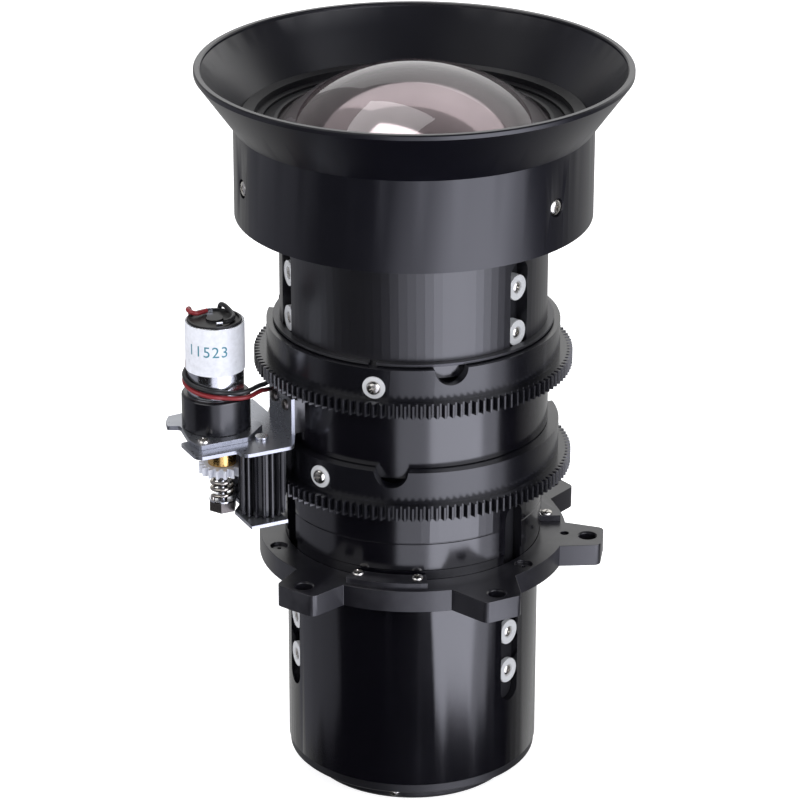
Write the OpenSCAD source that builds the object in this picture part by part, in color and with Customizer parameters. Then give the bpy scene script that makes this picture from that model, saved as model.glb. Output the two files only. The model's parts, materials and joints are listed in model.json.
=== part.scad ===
// Projector zoom lens with a flared hood. A fixed barrel with straight guide slots carries two
// toothed rings. Each ring turns a cam tube inside the barrel, and the tube's slanted slots push
// a lens carrier along the axis. A geared motor on a bent bracket drives the lower ring through
// a slipping clutch and a long idler pinion.
// The origin is on the lens axis at the rear face of the mount flange, +Z towards the hood.

/* [Barrel] */
// Outer radius of the barrel under the rings and the hood
barrel_r = 43.2; // [42.8:0.1:43.8]
// Outer radius of the neck between the flange and the lower ring
neck_r = 42.4; // [42.3:0.1:42.6]
// Outer radius of the rear spigot that enters the projector
spigot_r = 41.4; // [41:0.1:41.7]
// Bore radius of the barrel
bore_r = 39; // [38.6:0.1:39.2]
// Length of the rear spigot behind the flange
spigot_len = 67.8; // [64:0.2:74]
// Radial height of the band between the two rings
band_h = 0.7; // [0.4:0.1:1.2]
// Gap between the flange and the neck above it
neck_gap = 3.2; // [2.6:0.1:4]
// Width of the straight guide slots
slot_w = 8.5; // [8:0.1:9]
// Direction of the first guide slot about the axis, in degrees
slot_az = -39.5; // [-42:0.5:-36]
// Chamfer at the rear end of the spigot
spigot_chamfer = 0.4; // [0.3:0.1:1]

/* [Rings] */
// Gear module of both rings and of the pinions
gear_module = 0.8; // [0.8:0.05:0.85]
// Teeth on each ring
ring_teeth = 127; // [125:1:129]
// Outer radius of the plain part of each ring
ring_r = 47.5; // [47:0.1:48.5]
// Face width of the ring teeth
gear_w = 4.5; // [4:0.1:5]
// Height of the lower, focus ring
focus_ring_h = 15; // [14:0.2:16]
// Height of the upper, zoom ring
zoom_ring_h = 14.8; // [14:0.2:16]
// Gap between the two rings
ring_gap = 20; // [19:0.5:22]
// Distance from the flange to the teeth of the focus ring
rear_gap = 24.8; // [24:0.2:27]
// Radius of the round notches in the top edge of the rings
notch_r = 5.4; // [4.8:0.1:5.8]
// Depth below the zoom ring's top edge of the screws that hold it to its cam tube
zoom_screw_drop = 6.2; // [5.5:0.1:6.5]
// Depth below the focus ring's top edge of the screws that hold it to its cam tube
focus_screw_drop = 5.6; // [5.2:0.1:6.5]
// Radius of the washers under those screws
washer_r = 3.7; // [3.2:0.1:3.8]

/* [Cams] */
// Distance between the two rollers of the zoom carrier
zoom_roller_pitch = 15.3; // [14.6:0.1:16]
// Distance between the two rollers of the focus carrier
focus_roller_pitch = 14; // [13.4:0.1:15]
// Height of the lower zoom roller over the top of the zoom ring
zoom_roller_rise = 4.8; // [4:0.1:5.5]
// Depth of the upper focus roller below the flange's rear face
focus_roller_drop = 19; // [18:0.2:20.5]
// Travel of the zoom carrier each way
zoom_travel = 4.3; // [3:0.1:4.6]
// Turn of the zoom ring each way, in degrees
zoom_turn = 30; // [24:1:32]
// Travel of the focus carrier towards the rear
focus_travel_rear = 5.9; // [4:0.1:6.2]
// Turn of the focus ring for that travel, in degrees
focus_turn_rear = 15; // [14:1:18]
// Turn of the focus ring towards the front, in degrees
focus_turn_front = 45; // [36:1:46]
// Wall of the cam tubes
cam_wall = 1.8; // [1.5:0.1:2]
// Radius of the roller's inner sleeve, which runs in the cam slot
sleeve_r = 2.4; // [2:0.1:2.6]

/* [Hood] */
// Outer radius of the rim
rim_r = 69.5; // [67:0.5:73]
// Outer radius of the cylindrical skirt
skirt_r = 57.3; // [57:0.1:59]
// Wall of the hood
hood_wall = 2.2; // [2:0.1:2.5]
// Distance from the zoom ring to the hood
hood_gap = 36.1; // [35.5:0.1:38]
// Height of the skirt
skirt_h = 29.9; // [29:0.1:32]
// Height of the flare
flare_h = 17; // [15:0.5:20]
// Height of the lip at the rim
lip_h = 1.6; // [1.2:0.1:2.4]

/* [Glass] */
// Radius of the edge of the front lens
front_glass_r = 43.1; // [42:0.1:44]
// Radius of curvature of the front lens's dome
dome_r = 60; // [58:0.5:66]
// Height of the cylindrical edge of the front lens
front_edge_h = 13.5; // [12:0.5:14]
// Free radius of the lenses in the carriers
group_glass_r = 32; // [28:0.5:33]
// Radius of the rear lens
rear_glass_r = 29; // [25:0.5:30]

/* [Flange] */
// Outer radius of the flange between its ears
flange_r = 50.6; // [50:0.1:51.5]
// Thickness of the flange
flange_t = 7.3; // [6.5:0.1:8]
// Distance from the axis to the ends of the ears
ear_reach = 63.2; // [62.5:0.1:65]
// Distance from the axis to the ear holes
ear_hole_at = 57.9; // [57.4:0.1:58.2]
// Radius of the ear holes
ear_hole_r = 2.75; // [2.2:0.05:3.2]
// Circle radius of the three counterbored holes
face_hole_at = 46.5; // [46:0.1:47]
// Radius of the three counterbored holes
face_hole_r = 0.65; // [0.5:0.05:1]
// Thickness of the rear cell's flange against the end of the spigot
cell_flange_t = 3; // [2.4:0.1:3.6]
// Length of the rear cell that stands out of the spigot
cell_out = 8.6; // [7.6:0.1:10]
// Outer radius of the rear cell where it stands out
cell_r = 35; // [34:0.1:36]

/* [Motor unit] */
// Direction of the motor bracket about the lens axis, in degrees
bracket_az = -153.5; // [-156:0.5:-151]
// Thickness of the bracket's sheet
sheet_t = 1.2; // [1:0.1:1.5]
// Distance from the lens axis to the bracket's fixing tab
tab_at = 46.5; // [46:0.1:46.8]
// Height of the upper plate's top face over the flange's rear face
plate_z = 52.2; // [51.5:0.1:53]
// Distance between the two plates of the bracket
plate_gap = 23.9; // [23:0.1:24.5]
// Teeth on the idler pinion and on the clutch gear
pinion_teeth = 17; // [17:1:18]
// Sideways offset of the idler pinion from the bracket's middle line
idler_side = 6.9; // [6.5:0.1:7.3]
// Radius of the gearbox
gearbox_r = 11; // [10.6:0.1:11.2]
// Height of the gearbox
gearbox_h = 11.6; // [11:0.1:13]
// Offset of the gearbox's output shaft from its middle
shaft_offset = 4; // [3.6:0.1:4.4]
// Radius of the motor's steel can
motor_r = 9.1; // [8.8:0.1:9.2]
// Height of the motor's steel can
motor_h = 24.3; // [22:0.1:25]
// Radius of the clutch spring at the middle of its wire
spring_r = 3.4; // [3.2:0.1:3.5]
// Diameter of the clutch spring's wire
spring_wire = 1.3; // [1.1:0.1:1.4]
// Curls in the clutch spring
spring_curls = 3; // [2:0.5:3]
// Diameter of the motor leads
lead_d = 1.5; // [1.2:0.1:1.6]

/* [Hidden] */
$fn = 96;
cut = 1;
fit = 0.06;
seat_gap = 0.3;
pressure_angle = 20;

// Levels along the axis
focus_z = flange_t + rear_gap;
focus_top = focus_z + focus_ring_h;
zoom_z = focus_top + ring_gap;
zoom_top = zoom_z + zoom_ring_h;
hood_z = zoom_top + hood_gap;
flare_z = hood_z + skirt_h;
lip_z = flare_z + flare_h;
rim_z = lip_z + lip_h;
neck_z = flange_t + neck_gap;
barrel_over = 8;
barrel_top = hood_z + barrel_over;
step_over = 1;
groove_h = 1;
groove_d = 0.4;
neck_chamfer = 0.4;
collar_h = 0.46;
collar_r = spigot_r + collar_h;
neck_step = 0.2;
neck_step_z = 19.8;

// Guide slots, three round the barrel
slot_azs = [for (i = [0:2]) slot_az + 120 * i];
slot_spare = 0.5;
rear_slot_top = 5.2;

// Cam tubes and carriers
cam_r = bore_r - fit;
cam_in_r = cam_r - cam_wall;
carrier_r = cam_in_r - fit;
carrier_margin = 6;
cam_slot_clear = 0.5;
cam_end = 3.2;
cam_steps = 16;
zoom_rate = zoom_travel / zoom_turn;
focus_rate = focus_travel_rear / focus_turn_rear;
zoom_low_roller = zoom_top + zoom_roller_rise;
zoom_rollers_z = [zoom_low_roller, zoom_low_roller + zoom_roller_pitch];
focus_rollers_z = [-focus_roller_drop - focus_roller_pitch, -focus_roller_drop];
roller_r = slot_w / 2 - fit;
front_roller_sink = 0.7;
rear_roller_sink = 0.5;
roller_in_gap = 0.2;
roller_screw_r = 1;
roller_head_r = 1.9;
roller_head_h = 0.9;
roller_bite = 2;

// Ring screws
ring_bore_r = barrel_r + fit;
ring_screw_r = 1.5;
ring_head_r = 2.2;
ring_head_h = 1.3;
washer_t = 0.6;
spotface = 0.25;
pin_clear = 0.35;
pin_travel_spare = 2;
ring_screw_turns = [0, 180];
zoom_screw_az = -105;
zoom_notch_az = -75.2;
focus_screw_az = -128.2;
focus_notch_az = -98.4;
zoom_screw_z = zoom_top - zoom_screw_drop;
focus_screw_z = focus_top - focus_screw_drop;
retainer_out = 2.2;
retainer_r = barrel_r + retainer_out;
split_w = 2.6;
zoom_split_az = -106.5;
focus_split_az = 90;

// Hood and front cell
hood_in_r = skirt_r - hood_wall;
hood_screw_share = 0.47;
hood_screw_z = hood_z + skirt_h * hood_screw_share;
hood_head_r = 2.8;
hood_head_h = 1.5;
hood_head_sink = 1.35;
hood_screw_r = 1.5;
cell_skin = 3;
cell_lift = 1.4;
cell_bottom = hood_z + cell_lift;
cell_top = flare_z + hood_wall;
glass_seat_depth = 16.2;
glass_seat = cell_top - glass_seat_depth;
cell_lip_r = 50.8;
cell_step_r = 48.4;
cell_step_d = 2;
retainer_depth = 7.2;
retainer_h = 5.6;
retainer_bevel = 1.2;
glass_gap = 0.1;
cell_bore_r = front_glass_r + glass_gap;
cell_throat_r = 40.6;
second_glass_h = 7;
dome_z = glass_seat + front_edge_h - sqrt(dome_r * dome_r - front_glass_r * front_glass_r);
front_hollow_r = 72;
front_hollow_edge = 39.5;

// Lens groups
lens_gap = 0.1;
lens_edge = 3.5;
hollow_edge = 6.6;
lens_shelf = 2.2;
lens_curve_r = 70;
face_steps = 360;
hollow_curve_r = 200;
second_curve_r = 150;
middle_from_share = 0.2;
middle_h_share = 0.7;
middle_z = focus_top + ring_gap * middle_from_share;
middle_h = ring_gap * middle_h_share;
rear_cell_gap = 2.3;
focus_tube_low = focus_rollers_z[0] - focus_travel_rear - sleeve_r - cam_end;
rear_flange_gap = 0.45;
rear_chamfer = 1.2;
rear_screw_up = 3.1;
rear_screw_z = -spigot_len - cell_out + rear_screw_up;
rear_screw_az = -99.4;
rear_screw_r = 0.8;
rear_head_r = 1.9;
rear_head_h = 0.9;
rear_screw_len = 3;
rear_cell_wall = 3;
rear_rib = 1.6;
rear_floor = 1.8;

// Ears of the flange: direction, half angle at the root, half angle at the end, in degrees
ears = [[-126.8, 11.4, 6.8], [-62.4, 14, 5.8], [-7.5, 11.2, 6.2], [37, 13, 6.4], [117, 13, 6.4]];
ear_root_depth = 1;
ear_round = 2.4;
ear_hole_chamfer = 0.5;
corner_steps = 4;
face_bore_r = 2.9;
face_bore_h = 0.9;
small_hole_at = 50.3;
small_hole_az = -6.5;
small_hole_r = 1.4;
arc_from_az = -115.7;
arc_to_az = -84.3;
arc_inset = 1.5;
arc_out_r = flange_r - arc_inset;
arc_neck_gap = 0.6;
arc_in_r = collar_r + arc_neck_gap;
arc_t = 2.1;
arc_screw_at = 44.8;
arc_screw_azs = [for (i = [0:2]) each [-112.8 + 120 * i, -88 + 120 * i]];
arc_head_r = 1.9;
arc_head_h = 0.9;
arc_screw_r = 0.8;
arc_screw_len = 4;

// Bracket, in its own axes: first value outwards from the lens, second sideways
plate_in = tab_at;
front_side = 17;
tab_back = -8;
tab_front = 9;
tab_h = 12.3;
pad_under = 0.4;
web_side = -9;
web_from = 52.6;
web_to = 61;
lower_in = 52.9;
lower_out = 65.5;
lower_side = 3.5;
lobe_out = 82;
lobe_side = 12.6;
lobe_back = -1;
lobe_step = 68.2;
lobe_neck = 78;
under_back = -20;
plate_back = -24;
plate_corner = 4;
plate_round = 1;
lobe_round = 3;
tab_screw_z = 10.2;
tab_screw_sides = [-3.6, 4.8];
tab_screw_r = 1;
tab_head_r = 1.9;
tab_head_h = 1.2;
tab_screw_len = 3.4;
low_plate_z = plate_z - sheet_t - plate_gap;

// Gear train
ring_pitch_r = gear_module * ring_teeth / 2;
pinion_pitch_r = gear_module * pinion_teeth / 2;
backlash = 0.06;
train_spread = 0.02;
mesh_at = ring_pitch_r + pinion_pitch_r + train_spread * gear_module;
idler_out = sqrt(mesh_at * mesh_at - idler_side * idler_side);
idler_az = atan2(idler_side, idler_out);
clutch_dir = -44;
clutch_at = 2 * pinion_pitch_r + train_spread * gear_module;
clutch_out = idler_out + clutch_at * cos(clutch_dir);
clutch_side = idler_side + clutch_at * sin(clutch_dir);
motor_side = clutch_side - shaft_offset;
tooth_step = 360 / pinion_teeth;
idler_phase = idler_az + 180 + tooth_step / 2;
clutch_phase = 2 * clutch_dir - idler_phase + tooth_step / 2 + 180;
idler_pin_r = 1.5;
idler_head_r = 2.2;
idler_head_h = 0.9;
idler_tail = 1.5;
clip_r = 2.8;
clip_t = 0.6;

// Motor plate, gearbox, motor
motor_plate_t = 1.6;
motor_plate_z = plate_z + motor_plate_t;
gearbox_top = motor_plate_z + gearbox_h;
gearbox_round = 0.6;
plate_screw_r = 1;
plate_head_r = 1.9;
plate_head_h = 1.1;
plate_screw_at = 14.8;
plate_screw_dir = 50.5;
plate_front = 14.3;
plate_ear = 15;
plate_outline_shares = [[-0.32, 1], [0.79, 1], [0.87, 0.59], [0.74, -0.25], [0.99, -0.38],
    [0.91, -0.65], [0.76, -0.89], [0.4, -0.92], [-0.26, -1.01], [-0.48, -1.1], [-0.79, -1],
    [-0.87, -0.7], [-0.87, 0.48]];
wrap_t = 0.35;
wrap_low = 8.3;
wrap_high = 0.1;
cap_h = 0.9;
cap_rim = 0.4;
cap_boss_r = 2.8;
boss_h = 0.7;
terminal_w = 2;
terminal_t = 0.5;
terminal_h = 1.5;
terminal_at = 6.5;
terminal_az = 107;
cap_rim_t = 0.8;
cap_rim_h = 0.6;
shaft_r = 1.5;
bush_r = 4.6;
clutch_gear_w = 3;
clutch_gear_drop = 13.2;
clutch_gear_z = plate_z - clutch_gear_drop;
nut_h = 3.4;
nut_flat = 8;
nut_drop = 26.4;
nut_z = plate_z - nut_drop;
clutch_washer_t = 0.6;
clutch_washer_r = 4.4;
shaft_tail = 1;

// Route of the leads: red first, then the part that both share on the way round the barrel
lead_sides = 8;
motor_out = clutch_out;
motor_x = motor_out * cos(bracket_az) - motor_side * sin(bracket_az);
motor_y = motor_out * sin(bracket_az) + motor_side * cos(bracket_az);
red_top = [[-2.7, 4.9, 1.1], [-4.4, 3.3, 1.1], [-5.9, 2.1, 1.2], [-7.5, 2.3, 1.6], [-8.6, 4, 1.7],
    [-8.3, 6.2, 1.2], [-8, 6.9, -1.2]];
black_top = [[3.3, -5.2, 1.2], [4.9, -3.4, 1], [5.9, -0.6, 1], [5.6, 2.4, 1], [4.4, 5.4, 1.3],
    [2.8, 8, 1.7], [1.5, 10.1, 1.2], [1, 10.7, -0.8]];
red_down = [[-8, 6.7, -5], [-8.4, 7.2, -9], [-8.9, 7.6, -12.6], [-9.3, 7.3, -16.4],
    [-9.5, 6.8, -19.4]];
black_down = [[0.8, 10.5, -5], [0.6, 10.4, -10], [0.1, 10.4, -13.6], [-1.3, 10.4, -16.4]];
lead_wrap_r = 9.95;
red_wrap_az = 160;
black_wrap_az = 112;
wrap_to_az = 288;
wrap_step = 16;
lead_rise = 4.4;
red_over_gearbox = 1.3;
black_over_gearbox = 3.1;
red_out = [[-55, -33.2, 66.5], [-51.6, -30.8, 66.3], [-49.5, -26.4, 65.8], [-48.2, -21.8, 64.6],
    [-47.4, -17.6, 63], [-46.8, -12.8, 61.2], [-46, -8, 59.2]];
black_out = [[-55.2, -33.4, 68.4], [-51.8, -31, 68.4], [-49.8, -27, 67.9], [-48.5, -22.5, 66.7],
    [-47.6, -18, 65.2], [-46.9, -12.8, 63.6], [-46.2, -8, 61.9]];
round_r = 44.9;
round_from_az = 184;
round_to_az = 96;
round_step = 8;
red_round_z = 56.4;
black_round_z = 58.3;
plug_len = 8;
plug_w = 5;
plug_t = 3.4;
clip_az = 138;
clip_w = 5;
band_t = 0.6;

function inv(a) = tan(a) * 180 / PI - a;
function flank(teeth, r) = let (rb = gear_module * teeth / 2 * cos(pressure_angle))
    90 / teeth - backlash * 180 / PI / teeth + inv(pressure_angle) - (r > rb ? inv(acos(rb / r)) : 0);
function tooth(teeth, at, radii) = concat(
    [for (r = radii) r * [cos(at - flank(teeth, r)), sin(at - flank(teeth, r))]],
    [for (i = [len(radii) - 1:-1:0]) radii[i] * [cos(at + flank(teeth, radii[i])),
        sin(at + flank(teeth, radii[i]))]]);
function gear_outline(teeth, radii) = [for (i = [0:teeth - 1]) each tooth(teeth, 360 * i / teeth, radii)];
function unit2(v) = v / norm(v);
function cam_point(a, rate, r) = [r * sin(a), -rate * a];
function cam_normal(a, rate, r) = let (t = unit2([r * cos(a) * PI / 180, -rate])) [-t[1], t[0]];
function cam_outline(reach, rate, r, half) = concat(
    [for (i = [0:cam_steps]) let (a = -reach + 2 * reach * i / cam_steps)
        cam_point(a, rate, r) + half * cam_normal(a, rate, r)],
    [for (i = [cam_steps:-1:0]) let (a = -reach + 2 * reach * i / cam_steps)
        cam_point(a, rate, r) - half * cam_normal(a, rate, r)]);

// Rounds each corner of an outline by the radius that is listed for it, where 0 leaves it sharp
function corner(a, b, c, r) = let (u = unit2(a - b), v = unit2(c - b), half = acos(u * v) / 2,
    centre = b + unit2(u + v) * r / sin(half), from = b + u * r / tan(half) - centre,
    to = b + v * r / tan(half) - centre, start = atan2(from[1], from[0]),
    swing = atan2(to[1], to[0]) - start,
    turn = swing > 180 ? swing - 360 : swing < -180 ? swing + 360 : swing)
    [for (i = [0:corner_steps]) centre + r * [cos(start + turn * i / corner_steps),
        sin(start + turn * i / corner_steps)]];
function rounded(points, radii) = let (n = len(points)) [for (i = [0:n - 1])
    each radii[i] > 0 ? corner(points[(i + n - 1) % n], points[i], points[(i + 1) % n], radii[i])
        : [points[i]]];

// Tube of a given radius along a list of points, as one closed skin
function tangent(p, i) = unit2(p[min(i + 1, len(p) - 1)] - p[max(i - 1, 0)]);
function side_of(t, old) = unit2(old - (old * t) * t);
function frames(p, i = 0, old = [0.31, 0.2, 0.93]) = i >= len(p) ? [] :
    let (t = tangent(p, i), n = side_of(t, old)) concat([[n, cross(t, n)]], frames(p, i + 1, n));
module tube(p, r, sides) {
    f = frames(p);
    points = [for (i = [0:len(p) - 1]) for (k = [0:sides - 1])
        p[i] + r * (cos(360 * k / sides) * f[i][0] + sin(360 * k / sides) * f[i][1])];
    skin = [for (i = [0:len(p) - 2]) for (k = [0:sides - 1]) let (a = i * sides + k,
        b = i * sides + (k + 1) % sides) each [[a, a + sides, b + sides], [a, b + sides, b]]];
    last = (len(p) - 1) * sides;
    polyhedron(points, concat(skin, [[for (k = [0:sides - 1]) k]],
        [[for (k = [sides - 1:-1:0]) last + k]]));
}

// Places its children on a radial line at a height, their +Z pointing away from the axis
module radial(az, z, r = 0) {
    rotate([0, 0, az]) translate([r, 0, z]) rotate([0, 90, 0]) children();
}
module ring(out_r, in_r, z, h) {
    translate([0, 0, z]) difference() {
        cylinder(r = out_r, h = h);
        translate([0, 0, -cut]) cylinder(r = in_r, h = h + 2 * cut);
    }
}
module screw(head_r, head_h, shank_r, shank_len) {
    cylinder(r = head_r, h = head_h, $fn = 48);
    translate([0, 0, -shank_len]) cylinder(r = shank_r, h = shank_len, $fn = 32);
}
module slot_shape(width, low, high) {
    translate([-width / 2, low + width / 2]) square([width, high - low - width]);
    translate([0, low + width / 2]) circle(d = width, $fn = 48);
    translate([0, high - width / 2]) circle(d = width, $fn = 48);
}
module radial_cut(az, from_r, depth) {
    rotate([0, 0, az]) translate([from_r, 0, 0]) rotate([90, 0, 90]) linear_extrude(depth) children();
}
// Sector between two directions, tall enough to cut a ring wall at a height
module sector(from, to, reach, z, h) {
    mid = (from + to) / 2;
    translate([0, 0, z]) linear_extrude(h) polygon([[0, 0], reach * [cos(from), sin(from)],
        reach * [cos((from + mid) / 2), sin((from + mid) / 2)], reach * [cos(mid), sin(mid)],
        reach * [cos((to + mid) / 2), sin((to + mid) / 2)], reach * [cos(to), sin(to)]]);
}
module bracket_axes() {
    rotate([0, 0, bracket_az]) children();
}
module gear(teeth, radii, h) {
    linear_extrude(h) polygon(gear_outline(teeth, radii));
}

// Fixed barrel
module barrel_profile() {
    band_r = barrel_r + band_h;
    groove_z = focus_z - seat_gap - groove_h;
    clip_z = zoom_top + seat_gap;
    polygon([[bore_r, -spigot_len], [spigot_r - spigot_chamfer, -spigot_len],
        [spigot_r, -spigot_len + spigot_chamfer], [spigot_r, 0], [collar_r, 0], [collar_r, neck_z],
        [neck_r - neck_chamfer, neck_z], [neck_r, neck_z + neck_chamfer], [neck_r, neck_step_z],
        [neck_r - neck_step, neck_step_z + neck_step], [neck_r - neck_step, neck_step_z + 2 * neck_step],
        [neck_r, neck_step_z + 3 * neck_step], [neck_r, groove_z],
        [neck_r - groove_d, groove_z], [neck_r - groove_d, groove_z + groove_h],
        [neck_r, groove_z + groove_h], [neck_r, focus_z + step_over],
        [barrel_r, focus_z + step_over], [barrel_r, focus_top + seat_gap],
        [band_r, focus_top + seat_gap], [band_r, zoom_z - seat_gap],
        [barrel_r, zoom_z - seat_gap], [barrel_r, clip_z], [barrel_r - groove_d, clip_z],
        [barrel_r - groove_d, clip_z + groove_h], [barrel_r, clip_z + groove_h],
        [barrel_r, barrel_top], [bore_r, barrel_top]]);
}
module pin_slot(az, from_turn, to_turn, z) {
    half = ring_screw_r + pin_clear;
    spare = pin_travel_spare + asin(half / bore_r);
    intersection() {
        ring(barrel_r + cut, bore_r - cut, z - half, 2 * half);
        sector(az + from_turn - spare, az + to_turn + spare, 2 * barrel_r, z - half - cut,
            2 * half + 2 * cut);
    }
}
module main_barrel() {
    color([0.09, 0.09, 0.11]) difference() {
        union() {
            rotate_extrude() barrel_profile();
            bracket_axes() translate([bore_r, tab_back, plate_z + pad_under])
                cube([tab_at - bore_r, tab_front - tab_back, tab_h - 2 * pad_under]);
        }
        translate([0, 0, -spigot_len - cut]) cylinder(r = bore_r, h = spigot_len + barrel_top + 2 * cut);
        for (az = slot_azs) {
            radial_cut(az, bore_r / 2, barrel_r)
                slot_shape(slot_w, zoom_rollers_z[0] - zoom_travel - roller_r - slot_spare,
                    zoom_rollers_z[1] + zoom_travel + roller_r + slot_spare);
            radial_cut(az, bore_r / 2, barrel_r)
                slot_shape(slot_w, focus_rollers_z[0] - focus_travel_rear - roller_r - slot_spare,
                    focus_z - rear_slot_top);
        }
        for (turn = ring_screw_turns) {
            pin_slot(zoom_screw_az + turn, -zoom_turn, zoom_turn, zoom_screw_z);
            pin_slot(focus_screw_az + turn, -focus_turn_rear, focus_turn_front, focus_screw_z);
        }
        bracket_axes() for (s = tab_screw_sides)
            translate([tab_at + sheet_t, s, plate_z - sheet_t + tab_screw_z]) rotate([0, -90, 0])
                cylinder(r = tab_screw_r + fit, h = tab_screw_len + sheet_t, $fn = 32);
    }
}
module split_ring(out_r, in_r, z, h, az) {
    difference() {
        ring(out_r, in_r, z, h);
        rotate([0, 0, az]) translate([in_r - cut, -split_w / 2, z - cut])
            cube([out_r - in_r + 2 * cut, split_w, h + 2 * cut]);
    }
}
module zoom_ring_retainer() {
    color([0.12, 0.12, 0.13]) split_ring(retainer_r, barrel_r - groove_d + fit,
        zoom_top + seat_gap + fit, groove_h - 2 * fit, zoom_split_az);
}
module focus_ring_retainer() {
    color([0.12, 0.12, 0.13]) split_ring(retainer_r, neck_r - groove_d + fit,
        focus_z - seat_gap - groove_h + fit, groove_h - 2 * fit, focus_split_az);
}

// Toothed rings
module toothed_ring(z, h, screw_az, screw_z, notch_az) {
    color([0.1, 0.1, 0.12]) difference() {
        union() {
            translate([0, 0, z]) cylinder(r = ring_r, h = h);
            translate([0, 0, z]) rotate([0, 0, bracket_az + idler_az])
                gear(ring_teeth, [ring_pitch_r - 1.25 * gear_module, ring_pitch_r,
                    ring_pitch_r + gear_module], gear_w);
        }
        translate([0, 0, z - cut]) cylinder(r = ring_bore_r, h = h + 2 * cut);
        for (turn = ring_screw_turns) {
            radial(screw_az + turn, screw_z, ring_r - spotface)
                cylinder(r = washer_r + fit, h = cut, $fn = 48);
            radial(screw_az + turn, screw_z, bore_r)
                cylinder(r = ring_screw_r + fit, h = ring_r - bore_r + cut, $fn = 32);
        }
        for (i = [0:2]) {
            radial(notch_az + 120 * i, z + h, bore_r)
                cylinder(r = notch_r, h = ring_r - bore_r + cut, $fn = 64);
        }
    }
}
module zoom_ring() {
    toothed_ring(zoom_z, zoom_ring_h, zoom_screw_az, zoom_screw_z, zoom_notch_az);
}
module focus_ring() {
    toothed_ring(focus_z, focus_ring_h, focus_screw_az, focus_screw_z, focus_notch_az);
}
module ring_washers(az, z) {
    for (turn = ring_screw_turns) radial(az + turn, z, ring_r - spotface) difference() {
        cylinder(r = washer_r, h = washer_t, $fn = 48);
        translate([0, 0, -cut]) cylinder(r = ring_screw_r + fit, h = washer_t + 2 * cut, $fn = 32);
    }
}
module ring_screws(az, z) {
    for (turn = ring_screw_turns) radial(az + turn, z, ring_r - spotface + washer_t)
        screw(ring_head_r, ring_head_h, ring_screw_r,
            ring_r - spotface + washer_t - cam_in_r - seat_gap);
}
module zoom_ring_washers() {
    color([0.85, 0.85, 0.84]) ring_washers(zoom_screw_az, zoom_screw_z);
}
module focus_ring_washers() {
    color([0.85, 0.85, 0.84]) ring_washers(focus_screw_az, focus_screw_z);
}
module zoom_ring_screws() {
    color([0.6, 0.6, 0.58]) ring_screws(zoom_screw_az, zoom_screw_z);
}
module focus_ring_screws() {
    color([0.6, 0.6, 0.58]) ring_screws(focus_screw_az, focus_screw_z);
}

// Cam tubes with two slanted slots at each guide slot, and the carriers that they push
module cam_tube(low, high, rollers_z, rate, turn_low, turn_high, screw_az, screw_z) {
    mid_turn = (turn_high - turn_low) / 2;
    reach = (turn_high + turn_low) / 2 + asin((sleeve_r + 2 * cam_slot_clear) / cam_r);
    color([0.35, 0.35, 0.37]) difference() {
        ring(cam_r, cam_in_r, low, high - low);
        for (az = slot_azs) for (z = rollers_z)
            translate([0, 0, z + rate * mid_turn]) radial_cut(az - mid_turn, bore_r / 2, bore_r)
                polygon(cam_outline(reach, rate, (cam_r + cam_in_r) / 2, sleeve_r + cam_slot_clear));
        for (turn = ring_screw_turns) radial(screw_az + turn, screw_z, cam_in_r - cut)
            cylinder(r = ring_screw_r + fit, h = cam_wall + 2 * cut, $fn = 32);
    }
}
module zoom_cam_tube() {
    cam_tube(zoom_screw_z - cam_end, zoom_rollers_z[1] + zoom_travel + sleeve_r + 2 * cam_end,
        zoom_rollers_z, zoom_rate, zoom_turn, zoom_turn, zoom_screw_az, zoom_screw_z);
}
module focus_cam_tube() {
    cam_tube(focus_tube_low, focus_screw_z + cam_end,
        focus_rollers_z, focus_rate, focus_turn_rear, focus_turn_front, focus_screw_az,
        focus_screw_z);
}
module carrier(rollers_z, low_edge, high_edge) {
    low = rollers_z[0] - carrier_margin;
    high = rollers_z[1] + carrier_margin;
    shelf_r = group_glass_r - lens_shelf;
    seat_r = group_glass_r + lens_gap;
    color([0.3, 0.3, 0.32]) difference() {
        rotate_extrude() polygon([[seat_r, low], [carrier_r, low], [carrier_r, high], [seat_r, high],
            [seat_r, high - high_edge], [shelf_r, high - high_edge],
            [shelf_r, low + low_edge], [seat_r, low + low_edge]]);
        for (az = slot_azs) for (z = rollers_z) radial(az, z, carrier_r - roller_bite)
            cylinder(r = roller_screw_r + fit, h = roller_bite + cut, $fn = 32);
    }
}
module zoom_carrier() {
    carrier(zoom_rollers_z, hollow_edge, lens_edge);
}
module focus_carrier() {
    carrier(focus_rollers_z, lens_edge, hollow_edge);
}
module rollers(rollers_z, out_r) {
    sleeve_len = bore_r + roller_in_gap - carrier_r;
    for (az = slot_azs) for (z = rollers_z) radial(az, z, carrier_r) difference() {
        union() {
            cylinder(r = sleeve_r, h = sleeve_len + roller_head_h / 2, $fn = 48);
            translate([0, 0, sleeve_len])
                cylinder(r = roller_r, h = out_r - bore_r - roller_in_gap, $fn = 64);
        }
        translate([0, 0, -cut]) cylinder(r = roller_screw_r + fit, h = out_r, $fn = 32);
        translate([0, 0, out_r - carrier_r - roller_head_h])
            cylinder(r = roller_head_r + fit, h = roller_head_h + cut, $fn = 48);
    }
}
module roller_screws(rollers_z, out_r) {
    for (az = slot_azs) for (z = rollers_z) radial(az, z, out_r - roller_head_h)
        screw(roller_head_r, roller_head_h, roller_screw_r,
            out_r - roller_head_h - carrier_r + roller_bite - seat_gap);
}
module zoom_rollers() {
    color([0.9, 0.9, 0.9]) rollers(zoom_rollers_z, barrel_r - front_roller_sink);
}
module focus_rollers() {
    color([0.9, 0.9, 0.9]) rollers(focus_rollers_z, spigot_r - rear_roller_sink);
}
module zoom_roller_screws() {
    color([0.75, 0.75, 0.74]) roller_screws(zoom_rollers_z, barrel_r - front_roller_sink);
}
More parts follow.
